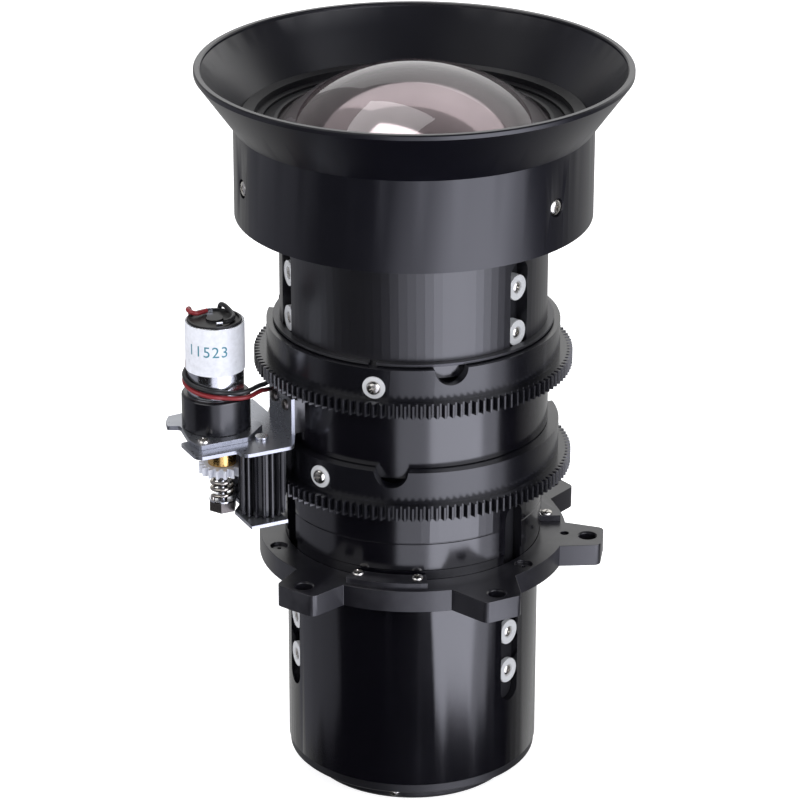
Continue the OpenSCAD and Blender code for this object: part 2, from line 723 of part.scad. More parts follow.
module focus_roller_screws() {
    color([0.75, 0.75, 0.74]) roller_screws(focus_rollers_z, spigot_r - rear_roller_sink);
}

// Lenses. A lens has a straight edge, and each face bulges out or is hollowed by a sphere
module face_ball(r, edge_r, z, up) {
    drop = sqrt(r * r - edge_r * edge_r);
    translate([0, 0, z - up * drop]) sphere(r = r, $fn = face_steps);
}
function face_rise(r) = sqrt(lens_curve_r * lens_curve_r - (r - lens_shelf) * (r - lens_shelf))
    - sqrt(lens_curve_r * lens_curve_r - r * r);
module convex_lens(r, z, h) {
    bulge = lens_curve_r - sqrt(lens_curve_r * lens_curve_r - r * r);
    intersection() {
        translate([0, 0, z - bulge - cut]) cylinder(r = r, h = h + 2 * bulge + 2 * cut);
        face_ball(lens_curve_r, r, z + h, 1);
        face_ball(lens_curve_r, r, z, -1);
    }
}
module concave_lens(r, z, h) {
    rim = lens_shelf / 2;
    difference() {
        translate([0, 0, z]) cylinder(r = r, h = h);
        face_ball(hollow_curve_r, r - rim, z + h, -1);
        face_ball(hollow_curve_r, r - rim, z, 1);
    }
}
module front_glass() {
    color([0.8, 0.85, 0.95, 0.4]) difference() {
        intersection() {
            translate([0, 0, glass_seat + fit]) cylinder(r = front_glass_r, h = dome_r);
            translate([0, 0, dome_z]) sphere(r = dome_r, $fn = face_steps);
        }
        face_ball(front_hollow_r, front_hollow_edge, glass_seat, 1);
    }
}
module second_glass() {
    r = cell_throat_r - lens_gap;
    color([0.8, 0.85, 0.95, 0.4]) difference() {
        translate([0, 0, barrel_top + fit]) cylinder(r = r, h = second_glass_h);
        face_ball(second_curve_r, r - lens_shelf / 2, barrel_top + fit + second_glass_h, -1);
    }
}
module zoom_glass_front() {
    color([0.8, 0.85, 0.95, 0.4]) convex_lens(group_glass_r,
        zoom_rollers_z[1] + carrier_margin - lens_edge + fit + face_rise(group_glass_r),
        lens_edge - 2 * fit - face_rise(group_glass_r));
}
module zoom_glass_rear() {
    color([0.8, 0.85, 0.95, 0.4]) concave_lens(group_glass_r,
        zoom_rollers_z[0] - carrier_margin + fit, hollow_edge - 2 * fit);
}
module focus_glass_front() {
    color([0.8, 0.85, 0.95, 0.4]) concave_lens(group_glass_r,
        focus_rollers_z[1] + carrier_margin - hollow_edge + fit, hollow_edge - 2 * fit);
}
module focus_glass_rear() {
    color([0.8, 0.85, 0.95, 0.4]) convex_lens(group_glass_r,
        focus_rollers_z[0] - carrier_margin + fit, lens_edge - 2 * fit - face_rise(group_glass_r));
}
module middle_cell() {
    seat_r = group_glass_r + lens_gap;
    top = middle_z + middle_h;
    color([0.2, 0.2, 0.22]) rotate_extrude() polygon([[group_glass_r - lens_shelf, middle_z],
        [bore_r - fit, middle_z], [bore_r - fit, top], [seat_r, top], [seat_r, top - lens_edge],
        [group_glass_r - lens_shelf, top - lens_edge]]);
}
module middle_glass() {
    color([0.8, 0.85, 0.95, 0.4]) convex_lens(group_glass_r,
        middle_z + middle_h - lens_edge + fit + face_rise(group_glass_r),
        lens_edge - 2 * fit - face_rise(group_glass_r));
}

// Rear cell and its lens
module rear_cell() {
    end = -spigot_len - cell_out;
    top = focus_tube_low - rear_cell_gap;
    low = -spigot_len - cell_flange_t;
    edge_r = spigot_r - rear_flange_gap;
    inner_r = bore_r - fit - rear_cell_wall;
    seat_r = rear_glass_r + lens_gap;
    shelf_r = rear_glass_r - rear_rib;
    color([0.07, 0.07, 0.08]) difference() {
        rotate_extrude() polygon([[seat_r, end], [cell_r - rear_chamfer, end],
            [cell_r, end + rear_chamfer], [cell_r, low], [edge_r - spigot_chamfer, low],
            [edge_r, low + spigot_chamfer], [edge_r, -spigot_len], [bore_r - fit, -spigot_len],
            [bore_r - fit, top], [inner_r, top], [inner_r, rear_floor - spigot_len],
            [shelf_r, rear_floor - spigot_len], [shelf_r, -spigot_len - rear_rib],
            [seat_r, -spigot_len - rear_rib]]);
        for (i = [0:2]) radial(rear_screw_az + 120 * i, rear_screw_z, cell_r - rear_screw_len)
            cylinder(r = rear_screw_r + fit, h = rear_screw_len + cut, $fn = 32);
    }
}
module rear_cell_screws() {
    color([0.75, 0.75, 0.74]) for (i = [0:2]) radial(rear_screw_az + 120 * i, rear_screw_z, cell_r)
        screw(rear_head_r, rear_head_h, rear_screw_r, rear_screw_len - seat_gap);
}
module rear_glass() {
    color([0.8, 0.85, 0.95, 0.4]) concave_lens(rear_glass_r,
        -spigot_len - rear_rib - hollow_edge + fit, hollow_edge - 2 * fit);
}

// Hood and the front cell under it
module hood_profile() {
    rim_in_r = rim_r - hood_wall;
    lip_round = lip_h / 4;
    polygon([[hood_in_r, hood_z], [skirt_r, hood_z], [skirt_r, flare_z], [rim_r, lip_z],
        [rim_r, rim_z - lip_round], [rim_r - lip_round, rim_z], [rim_in_r + lip_round, rim_z],
        [rim_in_r, rim_z - lip_round], [rim_in_r, lip_z + lip_round],
        [hood_in_r, flare_z + hood_wall / 2]]);
}
module hood() {
    color([0.08, 0.08, 0.1]) difference() {
        rotate_extrude() hood_profile();
        for (az = slot_azs) {
            radial(az, hood_screw_z, skirt_r - hood_head_sink)
                cylinder(r = hood_head_r + seat_gap, h = hood_head_sink + cut, $fn = 48);
            radial(az, hood_screw_z, hood_in_r - cut)
                cylinder(r = hood_screw_r + fit, h = hood_wall + 2 * cut, $fn = 32);
        }
    }
}
module hood_screws() {
    color([0.75, 0.75, 0.73]) for (az = slot_azs)
        radial(az, hood_screw_z, skirt_r - hood_head_sink)
            screw(hood_head_r, hood_head_h, hood_screw_r,
                hood_wall - hood_head_sink + cell_skin - seat_gap);
}
module front_cell() {
    out_r = hood_in_r - fit;
    color([0.12, 0.12, 0.13]) difference() {
        rotate_extrude() polygon([[barrel_r + fit, cell_bottom], [out_r, cell_bottom],
            [out_r, cell_top], [cell_lip_r, cell_top], [cell_lip_r, cell_top - cell_step_d],
            [cell_step_r, cell_top - cell_step_d], [cell_step_r, cell_top - retainer_depth],
            [cell_bore_r, cell_top - retainer_depth], [cell_bore_r, glass_seat],
            [cell_throat_r, glass_seat], [cell_throat_r, barrel_top + fit],
            [barrel_r + fit, barrel_top + fit]]);
        for (az = slot_azs) radial(az, hood_screw_z, out_r - cell_skin)
            cylinder(r = hood_screw_r + fit, h = cell_skin + cut, $fn = 32);
    }
}
module front_retainer() {
    low = cell_top - retainer_depth + fit;
    color([0.25, 0.25, 0.27]) rotate_extrude() polygon([[cell_bore_r + fit, low],
        [cell_step_r - fit, low], [cell_step_r - fit, low + retainer_h - retainer_bevel],
        [cell_bore_r + retainer_bevel, low + retainer_h], [cell_bore_r + fit, low + retainer_h]]);
}

// Mount flange
module ear_shape(ear) {
    root_r = flange_r - ear_root_depth;
    polygon(rounded([root_r * [cos(ear[0] - ear[1]), sin(ear[0] - ear[1])],
        ear_reach * [cos(ear[0] - ear[2]), sin(ear[0] - ear[2])],
        ear_reach * [cos(ear[0] + ear[2]), sin(ear[0] + ear[2])],
        root_r * [cos(ear[0] + ear[1]), sin(ear[0] + ear[1])], [0, 0]],
        [0, ear_round, ear_round, 0, 0]));
}
module mount_flange() {
    color([0.16, 0.16, 0.18]) difference() {
        union() {
            cylinder(r = flange_r, h = flange_t);
            for (ear = ears) linear_extrude(flange_t) ear_shape(ear);
        }
        translate([0, 0, -cut]) cylinder(r = collar_r + fit, h = flange_t + 2 * cut);
        for (ear = ears) rotate([0, 0, ear[0]]) translate([ear_hole_at, 0, 0]) {
            translate([0, 0, -cut]) cylinder(r = ear_hole_r, h = flange_t + 2 * cut, $fn = 48);
            translate([0, 0, flange_t - ear_hole_chamfer])
                cylinder(r1 = ear_hole_r, r2 = ear_hole_r + ear_hole_chamfer + cut,
                    h = ear_hole_chamfer + cut, $fn = 48);
        }
        for (az = slot_azs) rotate([0, 0, az]) translate([face_hole_at, 0, -cut]) {
            cylinder(r = face_hole_r, h = flange_t + 2 * cut, $fn = 32);
            translate([0, 0, flange_t - face_bore_h + cut])
                cylinder(r = face_bore_r, h = face_bore_h + cut, $fn = 48);
        }
        rotate([0, 0, small_hole_az]) translate([small_hole_at, 0, -cut])
            cylinder(r = small_hole_r, h = flange_t + 2 * cut, $fn = 32);
        for (az = arc_screw_azs) rotate([0, 0, az]) translate([arc_screw_at, 0, flange_t - arc_screw_len])
            cylinder(r = arc_screw_r + fit, h = arc_screw_len + cut, $fn = 32);
    }
}
module flange_arc_plates() {
    color([0.14, 0.14, 0.16]) difference() {
        for (i = [0:2]) intersection() {
            ring(arc_out_r, arc_in_r, flange_t, arc_t);
            sector(arc_from_az + 120 * i, arc_to_az + 120 * i, 2 * flange_r, flange_t - cut,
                arc_t + 2 * cut);
        }
        for (az = arc_screw_azs) rotate([0, 0, az]) translate([arc_screw_at, 0, flange_t - cut])
            cylinder(r = arc_screw_r + fit, h = arc_t + 2 * cut, $fn = 32);
    }
}
module arc_plate_screws() {
    color([0.7, 0.7, 0.7]) for (az = arc_screw_azs) rotate([0, 0, az])
        translate([arc_screw_at, 0, flange_t + arc_t])
            screw(arc_head_r, arc_head_h, arc_screw_r, arc_t + arc_screw_len - seat_gap);
}

// Bracket of one bent sheet: upper plate, fixing tab, web and lower plate
module upper_plate_shape() {
    difference() {
        polygon(rounded([[plate_in, tab_front], [plate_in + plate_corner, front_side],
            [lobe_step, front_side], [lobe_step, lobe_side], [lobe_out, lobe_side],
            [lobe_out, lobe_back], [lobe_neck, lobe_back], [lobe_neck - plate_corner, under_back],
            [plate_in, plate_back]], [0, lobe_round, lobe_round, 0, lobe_round, plate_round, 0, 0, 0]));
        translate([idler_out, idler_side]) circle(r = idler_pin_r + fit, $fn = 32);
        translate([clutch_out, clutch_side]) circle(r = bush_r + fit, $fn = 48);
        plate_screw_places() circle(r = plate_screw_r + fit, $fn = 32);
    }
}
module plate_screw_places() {
    for (s = [0, 180]) translate([clutch_out, motor_side]) rotate([0, 0, plate_screw_dir + s])
        translate([plate_screw_at, 0]) children();
}
module motor_bracket() {
    color([0.72, 0.73, 0.75]) bracket_axes() {
        difference() {
            union() {
                translate([0, 0, plate_z - sheet_t]) linear_extrude(sheet_t) upper_plate_shape();
                translate([tab_at, tab_back, plate_z - sheet_t])
                    cube([sheet_t, tab_front - tab_back, tab_h + sheet_t]);
                translate([web_from, web_side - sheet_t, low_plate_z])
                    cube([web_to - web_from, sheet_t, plate_z - low_plate_z]);
                translate([0, 0, low_plate_z - sheet_t]) linear_extrude(sheet_t) difference() {
                    polygon([[lower_in, web_side - sheet_t], [web_to, web_side - sheet_t],
                        [web_to, -lower_side / 2], [lower_out, lower_side], [lower_out, front_side],
                        [lower_in, front_side]]);
                    translate([idler_out, idler_side]) circle(r = idler_pin_r + fit, $fn = 32);
                }
                translate([lower_in, web_side - sheet_t, low_plate_z - sheet_t])
                    cube([web_to - lower_in, sheet_t, sheet_t + cut]);
            }
            for (s = tab_screw_sides) translate([tab_at - cut, s, plate_z - sheet_t + tab_screw_z])
                rotate([0, 90, 0]) cylinder(r = tab_screw_r + fit, h = sheet_t + 2 * cut, $fn = 32);
        }
    }
}
module bracket_screws() {
    color([0.3, 0.28, 0.26]) bracket_axes() for (s = tab_screw_sides)
        translate([tab_at + sheet_t, s, plate_z - sheet_t + tab_screw_z]) rotate([0, 90, 0])
            screw(tab_head_r, tab_head_h, tab_screw_r, sheet_t + tab_screw_len - seat_gap);
}
module motor_plate_shape() {
    difference() {
        translate([clutch_out, motor_side]) polygon(rounded([for (p = plate_outline_shares)
            [p[0] * plate_ear, p[1] * plate_front]], [for (p = plate_outline_shares) plate_round]));
        translate([clutch_out, clutch_side]) circle(r = bush_r + fit, $fn = 48);
        plate_screw_places() circle(r = plate_screw_r + fit, $fn = 32);
    }
}
module motor_plate() {
    color([0.66, 0.68, 0.72]) bracket_axes() translate([0, 0, plate_z]) linear_extrude(motor_plate_t)
        motor_plate_shape();
}
module motor_plate_screws() {
    color([0.8, 0.8, 0.8]) bracket_axes() translate([0, 0, motor_plate_z]) plate_screw_places()
        screw(plate_head_r, plate_head_h, plate_screw_r, motor_plate_t + sheet_t - seat_gap);
}

// Gearbox and motor
module motor_axes(z) {
    bracket_axes() translate([clutch_out, motor_side, z]) children();
}
module gearbox() {
    color([0.09, 0.09, 0.1]) difference() {
        motor_axes(motor_plate_z) rotate_extrude() polygon([[0, 0], [gearbox_r, 0],
            [gearbox_r, gearbox_h - gearbox_round], [gearbox_r - gearbox_round, gearbox_h],
            [0, gearbox_h]]);
        bracket_axes() translate([clutch_out, clutch_side, motor_plate_z - cut])
            cylinder(r = shaft_r + fit, h = gearbox_h / 2 + cut, $fn = 32);
    }
}
module motor_can() {
    color([0.7, 0.7, 0.72]) motor_axes(gearbox_top) rotate_extrude() polygon([[0, 0], [motor_r, 0],
        [motor_r, motor_h], [motor_r - cap_rim, motor_h], [motor_r - cap_rim, motor_h - cap_h],
        [0, motor_h - cap_h]]);
}
module motor_wrap() {
    color([0.88, 0.89, 0.93]) motor_axes(gearbox_top)
        ring(motor_r + fit + wrap_t, motor_r + fit, wrap_low, motor_h - wrap_low - wrap_high);
}
module motor_cap() {
    cap_r = motor_r - cap_rim - fit;
    color([0.12, 0.12, 0.13]) motor_axes(gearbox_top + motor_h - cap_h) difference() {
        union() {
            cylinder(r = cap_r, h = cap_h);
            cylinder(r = cap_boss_r, h = cap_h + boss_h);
            ring(cap_r, cap_r - cap_rim_t, 0, cap_h + cap_rim_h);
        }
        terminals(fit, -cut, cap_h + 2 * cut);
    }
}
module terminals(gap, low, h) {
    for (s = [0, 180]) rotate([0, 0, terminal_az + s - bracket_az])
        translate([terminal_at - terminal_t / 2 - gap, -terminal_w / 2 - gap, low])
            cube([terminal_t + 2 * gap, terminal_w + 2 * gap, h]);
}
module motor_terminals() {
    color([0.8, 0.76, 0.66]) motor_axes(gearbox_top + motor_h - cap_h)
        terminals(0, 0, cap_h + terminal_h);
}

// Idler pinion on its fixed pin
module idler_pinion() {
    span = plate_gap - 2 * seat_gap;
    color([0.09, 0.09, 0.1]) bracket_axes() translate([idler_out, idler_side, low_plate_z + seat_gap])
        difference() {
            rotate([0, 0, idler_phase]) gear(pinion_teeth, [pinion_pitch_r - 1.25 * gear_module,
                pinion_pitch_r - gear_module / 2, pinion_pitch_r, pinion_pitch_r + gear_module / 2,
                pinion_pitch_r + gear_module], span);
            translate([0, 0, -cut]) cylinder(r = idler_pin_r + fit, h = span + 2 * cut, $fn = 32);
        }
}
module idler_pin() {
    color([0.55, 0.55, 0.56]) bracket_axes() translate([idler_out, idler_side, plate_z])
        screw(idler_head_r, idler_head_h, idler_pin_r, plate_gap + 2 * sheet_t + idler_tail);
}
module idler_clip() {
    color([0.5, 0.5, 0.5]) bracket_axes() translate([idler_out, idler_side, 0])
        ring(clip_r, idler_pin_r + fit, low_plate_z - sheet_t - clip_t - fit, clip_t);
}

// Output shaft with the slipping clutch
module clutch_axes(z) {
    bracket_axes() translate([clutch_out, clutch_side, z]) children();
}
module output_shaft() {
    low = nut_z - shaft_tail;
    color([0.7, 0.7, 0.72]) clutch_axes(low)
        cylinder(r = shaft_r, h = motor_plate_z + gearbox_h / 2 - seat_gap - low, $fn = 32);
}
module clutch_bush() {
    low = clutch_gear_z + clutch_gear_w + fit;
    color([0.75, 0.58, 0.28]) clutch_axes(low) difference() {
        cylinder(r = bush_r, h = motor_plate_z - fit - low, $fn = 64);
        translate([0, 0, -cut]) cylinder(r = shaft_r + fit, h = motor_plate_z - low + 2 * cut, $fn = 32);
    }
}
module clutch_gear() {
    color([0.86, 0.87, 0.88]) clutch_axes(clutch_gear_z) difference() {
        rotate([0, 0, clutch_phase]) gear(pinion_teeth, [pinion_pitch_r - 1.25 * gear_module,
            pinion_pitch_r - gear_module / 2, pinion_pitch_r, pinion_pitch_r + gear_module / 2,
            pinion_pitch_r + gear_module], clutch_gear_w);
        translate([0, 0, -cut]) cylinder(r = shaft_r + fit, h = clutch_gear_w + 2 * cut, $fn = 32);
    }
}
washer_top = nut_z + nut_h + clutch_washer_t;
spring_span = clutch_gear_z - washer_top;
spring_rise = spring_span - 2 * spring_wire;
spring_steps = 8 * spring_curls;
function spring_point(i) = let (a = 45 * i) [spring_r * cos(a), spring_r * sin(a),
    spring_wire + spring_rise * i / spring_steps];
spring_path = concat([[spring_r, 0, 0]], [for (i = [0:spring_steps]) spring_point(i)],
    [[spring_point(spring_steps)[0], spring_point(spring_steps)[1], spring_span]]);
spring_gap = spring_rise / spring_curls * cos(atan2(spring_rise / spring_curls, 2 * PI * spring_r))
    - spring_wire;
echo(clutch_spring_least_gap = spring_gap);
module clutch_spring() {
    color([0.7, 0.68, 0.64]) clutch_axes(washer_top) tube(spring_path, spring_wire / 2, 6);
}
module clutch_washer() {
    color([0.7, 0.7, 0.7]) clutch_axes(nut_z + nut_h)
        ring(clutch_washer_r, shaft_r + fit, 0, clutch_washer_t);
}
module clutch_nut() {
    color([0.35, 0.34, 0.33]) clutch_axes(nut_z) difference() {
        cylinder(r = nut_flat / 2 / cos(30), h = nut_h, $fn = 6);
        translate([0, 0, -cut]) cylinder(r = shaft_r + fit, h = nut_h + 2 * cut, $fn = 32);
    }
}

// Motor leads: over the cap, down behind the can, round its foot and round the barrel
function from_cap(p) = [motor_x + p[0], motor_y + p[1], gearbox_top + motor_h + p[2]];
function foot_turn(from, over) = [for (a = [from:wrap_step:wrap_to_az])
    [motor_x + lead_wrap_r * cos(a), motor_y + lead_wrap_r * sin(a),
        gearbox_top + over + lead_rise * (wrap_to_az - a) / (wrap_to_az - black_wrap_az)]];
function barrel_turn(z) = [for (a = [round_from_az:-round_step:round_to_az])
    [round_r * cos(a), round_r * sin(a), z]];
function lead_path(top, down, from, over, out, z) = concat([for (p = top) from_cap(p)],
    [for (p = down) from_cap(p)], foot_turn(from, over), out, barrel_turn(z));
red_path = lead_path(red_top, red_down, red_wrap_az, red_over_gearbox, red_out, red_round_z);
black_path = lead_path(black_top, black_down, black_wrap_az, black_over_gearbox, black_out,
    black_round_z);
module motor_lead_red() {
    color([0.55, 0.12, 0.12]) tube(red_path, lead_d / 2, lead_sides);
}
module motor_lead_black() {
    color([0.08, 0.08, 0.08]) tube(black_path, lead_d / 2, lead_sides);
}
module lead_plug() {
    end = -round_r * sin(round_step / 2);
    color([0.9, 0.9, 0.86]) rotate([0, 0, round_to_az + round_step / 2])
        translate([barrel_r + band_h + fit, end - plug_len,
            (red_round_z + black_round_z - plug_w) / 2]) cube([plug_t, plug_len, plug_w]);
}
module lead_clip() {
    low = red_round_z - lead_d;
    high = black_round_z + lead_d;
    out_r = round_r + lead_d / 2 + seat_gap;
    foot_r = barrel_r + band_h + fit;
    color([0.15, 0.15, 0.16]) rotate([0, 0, clip_az]) translate([0, -clip_w / 2, 0]) {
        translate([out_r, 0, low]) cube([band_t, clip_w, high - low]);
        for (z = [low - band_t, high]) translate([foot_r, 0, z])
            cube([out_r - foot_r + band_t, clip_w, band_t]);
    }
}

main_barrel();
mount_flange();
flange_arc_plates();
arc_plate_screws();
hood();
hood_screws();
front_cell();
front_glass();
front_retainer();
second_glass();
zoom_ring_retainer();
focus_ring_retainer();
zoom_ring();
zoom_cam_tube();
zoom_ring_screws();
zoom_ring_washers();
zoom_carrier();
zoom_rollers();
zoom_roller_screws();
zoom_glass_front();
zoom_glass_rear();
focus_ring();
focus_cam_tube();
focus_ring_screws();
focus_ring_washers();
focus_carrier();
focus_rollers();
focus_roller_screws();
focus_glass_front();
focus_glass_rear();
middle_cell();
middle_glass();
rear_cell();
rear_cell_screws();
rear_glass();
motor_bracket();
bracket_screws();
motor_plate();
motor_plate_screws();
gearbox();
motor_can();
motor_wrap();
motor_cap();
motor_terminals();
idler_pinion();
idler_pin();
idler_clip();
output_shaft();
clutch_bush();
clutch_gear();
clutch_spring();
clutch_washer();
clutch_nut();
motor_lead_red();
motor_lead_black();
lead_plug();
lead_clip();
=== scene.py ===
import json
import math
import bmesh
import bpy
from mathutils import Matrix, Vector


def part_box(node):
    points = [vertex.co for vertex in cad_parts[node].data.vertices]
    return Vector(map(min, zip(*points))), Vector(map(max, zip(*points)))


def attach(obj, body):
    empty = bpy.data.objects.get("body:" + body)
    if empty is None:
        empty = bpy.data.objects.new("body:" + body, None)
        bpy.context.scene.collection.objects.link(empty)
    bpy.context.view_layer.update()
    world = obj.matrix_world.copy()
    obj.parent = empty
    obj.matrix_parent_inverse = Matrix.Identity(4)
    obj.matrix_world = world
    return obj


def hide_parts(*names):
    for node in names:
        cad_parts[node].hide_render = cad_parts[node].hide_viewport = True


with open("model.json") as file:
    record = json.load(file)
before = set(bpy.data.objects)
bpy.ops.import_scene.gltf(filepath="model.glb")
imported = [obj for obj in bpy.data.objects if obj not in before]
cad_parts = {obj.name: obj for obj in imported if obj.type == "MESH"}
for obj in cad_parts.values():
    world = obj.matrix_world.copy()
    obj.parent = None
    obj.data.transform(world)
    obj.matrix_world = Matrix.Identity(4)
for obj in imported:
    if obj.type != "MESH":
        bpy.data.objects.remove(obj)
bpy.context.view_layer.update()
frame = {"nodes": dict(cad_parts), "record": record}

mm = 0.001
nodeObjects = frame["nodes"]
bodyOf = {n: b for b, names in frame["record"]["behaviour"]["bodies"].items() for n in names}
boxOf = {n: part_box(n) for n in nodeObjects}


def low(node):
    return boxOf[node][0]


def high(node):
    return boxOf[node][1]


def middleOf(node):  # the middle of a node in plan, for pieces that turn about an upright axis
    return (low(node)[0] + high(node)[0]) / 2, (low(node)[1] + high(node)[1]) / 2


# Camera: the photograph's long lens, a little above the object
camera = {
    "place": (0.0, -1.1203, 0.5236),
    "target": (0.0, 0.0, 0.0522),
    "lens": 167.8,
    "shiftX": -0.0164,
    "roll": 0.193,
}


def makeCamera():
    data = bpy.data.cameras.new("camera")
    data.lens = camera["lens"]
    data.sensor_width = 36.0
    data.shift_x = camera["shiftX"]
    data.clip_start = 0.05
    eye = bpy.data.objects.new("camera", data)
    place = Vector(camera["place"])
    aim = (Vector(camera["target"]) - place).to_track_quat("-Z", "Y")
    roll = Matrix.Rotation(math.radians(camera["roll"]), 4, "Z")
    eye.matrix_world = Matrix.Translation(place) @ aim.to_matrix().to_4x4() @ roll
    bpy.context.scene.collection.objects.link(eye)
    bpy.context.scene.camera = eye


makeCamera()
print("camera placed")


# Node groups: effects that several materials share
def newGroup(name, inputs, outputs):
    group = bpy.data.node_groups.new(name, "ShaderNodeTree")
    for label, kind, value in inputs:
        s = group.interface.new_socket(label, in_out="INPUT", socket_type=kind)
        s.default_value = value
    for label, kind in outputs:
        group.interface.new_socket(label, in_out="OUTPUT", socket_type=kind)
    return group, group.nodes.new("NodeGroupInput"), group.nodes.new("NodeGroupOutput")


def mathNode(tree, operation, first, second):
    node = tree.nodes.new("ShaderNodeMath")
    node.operation = operation
    for i, value in enumerate((first, second)):
        if isinstance(value, (int, float)):
            node.inputs[i].default_value = value
        else:
            tree.links.new(value, node.inputs[i])
    return node.outputs[0]


def noiseNode(tree, vector, scale, detail=2.0):
    node = tree.nodes.new("ShaderNodeTexNoise")
    node.inputs["Detail"].default_value = detail
    tree.links.new(vector, node.inputs["Vector"])
    if isinstance(scale, (int, float)):
        node.inputs["Scale"].default_value = scale
    else:
        tree.links.new(scale, node.inputs["Scale"])
    return node.outputs["Fac"]


def rangeNode(tree, value, fromLow, fromHigh, toLow, toHigh):
    node = tree.nodes.new("ShaderNodeMapRange")
    tree.links.new(value, node.inputs["Value"])
    limits = {"From Min": fromLow, "From Max": fromHigh, "To Min": toLow, "To Max": toHigh}
    for label, v in limits.items():
        if isinstance(v, (int, float)):
            node.inputs[label].default_value = v
        else:
            tree.links.new(v, node.inputs[label])
    return node.outputs["Result"]


def mixColour(tree, factor, first, second):
    node = tree.nodes.new("ShaderNodeMix")
    node.data_type = "RGBA"
    for label, value in (("Factor", factor), ("A", first), ("B", second)):
        socket = [s for s in node.inputs if s.name == label and s.type in ("RGBA", "VALUE")]
        socket = [s for s in socket if (s.type == "RGBA") == (label != "Factor")][0]
        if isinstance(value, (int, float, tuple)):
            socket.default_value = value
        else:
            tree.links.new(value, socket)
    return [s for s in node.outputs if s.type == "RGBA"][0]


broadGrain, bumpDepth = 60.0, 0.0001  # scale of the broad variation, and the bump's height in metres


def makeGrain():  # fine blasted or moulded grain: varies colour and roughness, and bumps the surface
    group, gi, go = newGroup(
        "fineGrain",
        [("Colour", "NodeSocketColor", (0.02, 0.02, 0.03, 1)), ("Scale", "NodeSocketFloat", 2500.0),
         ("Rough", "NodeSocketFloat", 0.4), ("Spread", "NodeSocketFloat", 0.08),
         ("Depth", "NodeSocketFloat", 0.02)],
        [("Colour", "NodeSocketColor"), ("Roughness", "NodeSocketFloat"), ("Normal", "NodeSocketVector")])
    place = group.nodes.new("ShaderNodeTexCoord").outputs["Object"]
    fine = noiseNode(group, place, gi.outputs["Scale"], 3.0)
    broad = noiseNode(group, place, broadGrain, 3.0)
    both = mathNode(group, "ADD", mathNode(group, "MULTIPLY", fine, 0.5),
                    mathNode(group, "MULTIPLY", broad, 0.5))
    spread = gi.outputs["Spread"]
    low_ = mathNode(group, "SUBTRACT", gi.outputs["Rough"], spread)
    high_ = mathNode(group, "ADD", gi.outputs["Rough"], spread)
    group.links.new(rangeNode(group, both, 0.3, 0.7, low_, high_), go.inputs["Roughness"])
    shade = group.nodes.new("ShaderNodeHueSaturation")
    group.links.new(gi.outputs["Colour"], shade.inputs["Color"])
    group.links.new(rangeNode(group, both, 0.3, 0.7, 0.88, 1.12), shade.inputs["Value"])
    group.links.new(shade.outputs["Color"], go.inputs["Colour"])
    bump = group.nodes.new("ShaderNodeBump")
    bump.inputs["Distance"].default_value = bumpDepth
    group.links.new(gi.outputs["Depth"], bump.inputs["Strength"])
    group.links.new(fine, bump.inputs["Height"])
    group.links.new(bump.outputs["Normal"], go.inputs["Normal"])
    return group


turning = {"wobbleScale": 40.0, "wobble": 0.0004}


def makeTurning():  # fine turned lines that run round the lens axis
    group, gi, go = newGroup(
        "turnedLines",
        [("Spacing", "NodeSocketFloat", 0.0006), ("Depth", "NodeSocketFloat", 0.05),
         ("Normal", "NodeSocketVector", (0, 0, 0))],
        [("Mask", "NodeSocketFloat"), ("Normal", "NodeSocketVector")])
    place = group.nodes.new("ShaderNodeTexCoord").outputs["Object"]
    split = group.nodes.new("ShaderNodeSeparateXYZ")
    group.links.new(place, split.inputs[0])
    wobble = mathNode(group, "MULTIPLY", noiseNode(group, place, turning["wobbleScale"]), turning["wobble"])
    height = mathNode(group, "ADD", split.outputs["Z"], wobble)
    turns = mathNode(group, "DIVIDE", height, gi.outputs["Spacing"])
    wave = mathNode(group, "SINE", mathNode(group, "MULTIPLY", turns, 2 * math.pi), 0.0)
    mask = rangeNode(group, wave, -1.0, 1.0, 0.0, 1.0)
    bump = group.nodes.new("ShaderNodeBump")
    bump.inputs["Distance"].default_value = bumpDepth
    group.links.new(gi.outputs["Depth"], bump.inputs["Strength"])
    group.links.new(mask, bump.inputs["Height"])
    group.links.new(gi.outputs["Normal"], bump.inputs["Normal"])
    group.links.new(mask, go.inputs["Mask"])
    group.links.new(bump.outputs["Normal"], go.inputs["Normal"])
    return group


wearing = {"patches": 220.0, "specks": 900.0, "dust": (0.35, 0.34, 0.33, 1)}


def makeWear():  # rubbed edges and a little dust: brightens colour where the surface is convex
    group, gi, go = newGroup(
        "edgeWear",
        [("Colour", "NodeSocketColor", (0.02, 0.02, 0.03, 1)), ("Worn", "NodeSocketColor", (0.2, 0.2, 0.22, 1)),
         ("Amount", "NodeSocketFloat", 0.4), ("Dust", "NodeSocketFloat", 0.1)],
        [("Colour", "NodeSocketColor"), ("Mask", "NodeSocketFloat")])
    place = group.nodes.new("ShaderNodeTexCoord").outputs["Object"]
    convex = group.nodes.new("ShaderNodeNewGeometry").outputs["Pointiness"]
    patchy = rangeNode(group, noiseNode(group, place, wearing["patches"], 4.0), 0.35, 0.65, 0.2, 1.0)
    edge = mathNode(group, "MULTIPLY", rangeNode(group, convex, 0.53, 0.62, 0.0, 1.0), patchy)
    mask = mathNode(group, "MULTIPLY", edge, gi.outputs["Amount"])
    specks = rangeNode(group, noiseNode(group, place, wearing["specks"], 2.0), 0.72, 0.78, 0.0, 1.0)
    worn = mixColour(group, mask, gi.outputs["Colour"], gi.outputs["Worn"])
    dusty = mixColour(group, mathNode(group, "MULTIPLY", specks, gi.outputs["Dust"]), worn, wearing["dust"])
    group.links.new(dusty, go.inputs["Colour"])
    group.links.new(mask, go.inputs["Mask"])
    return group


grainGroup, turningGroup, wearGroup = makeGrain(), makeTurning(), makeWear()


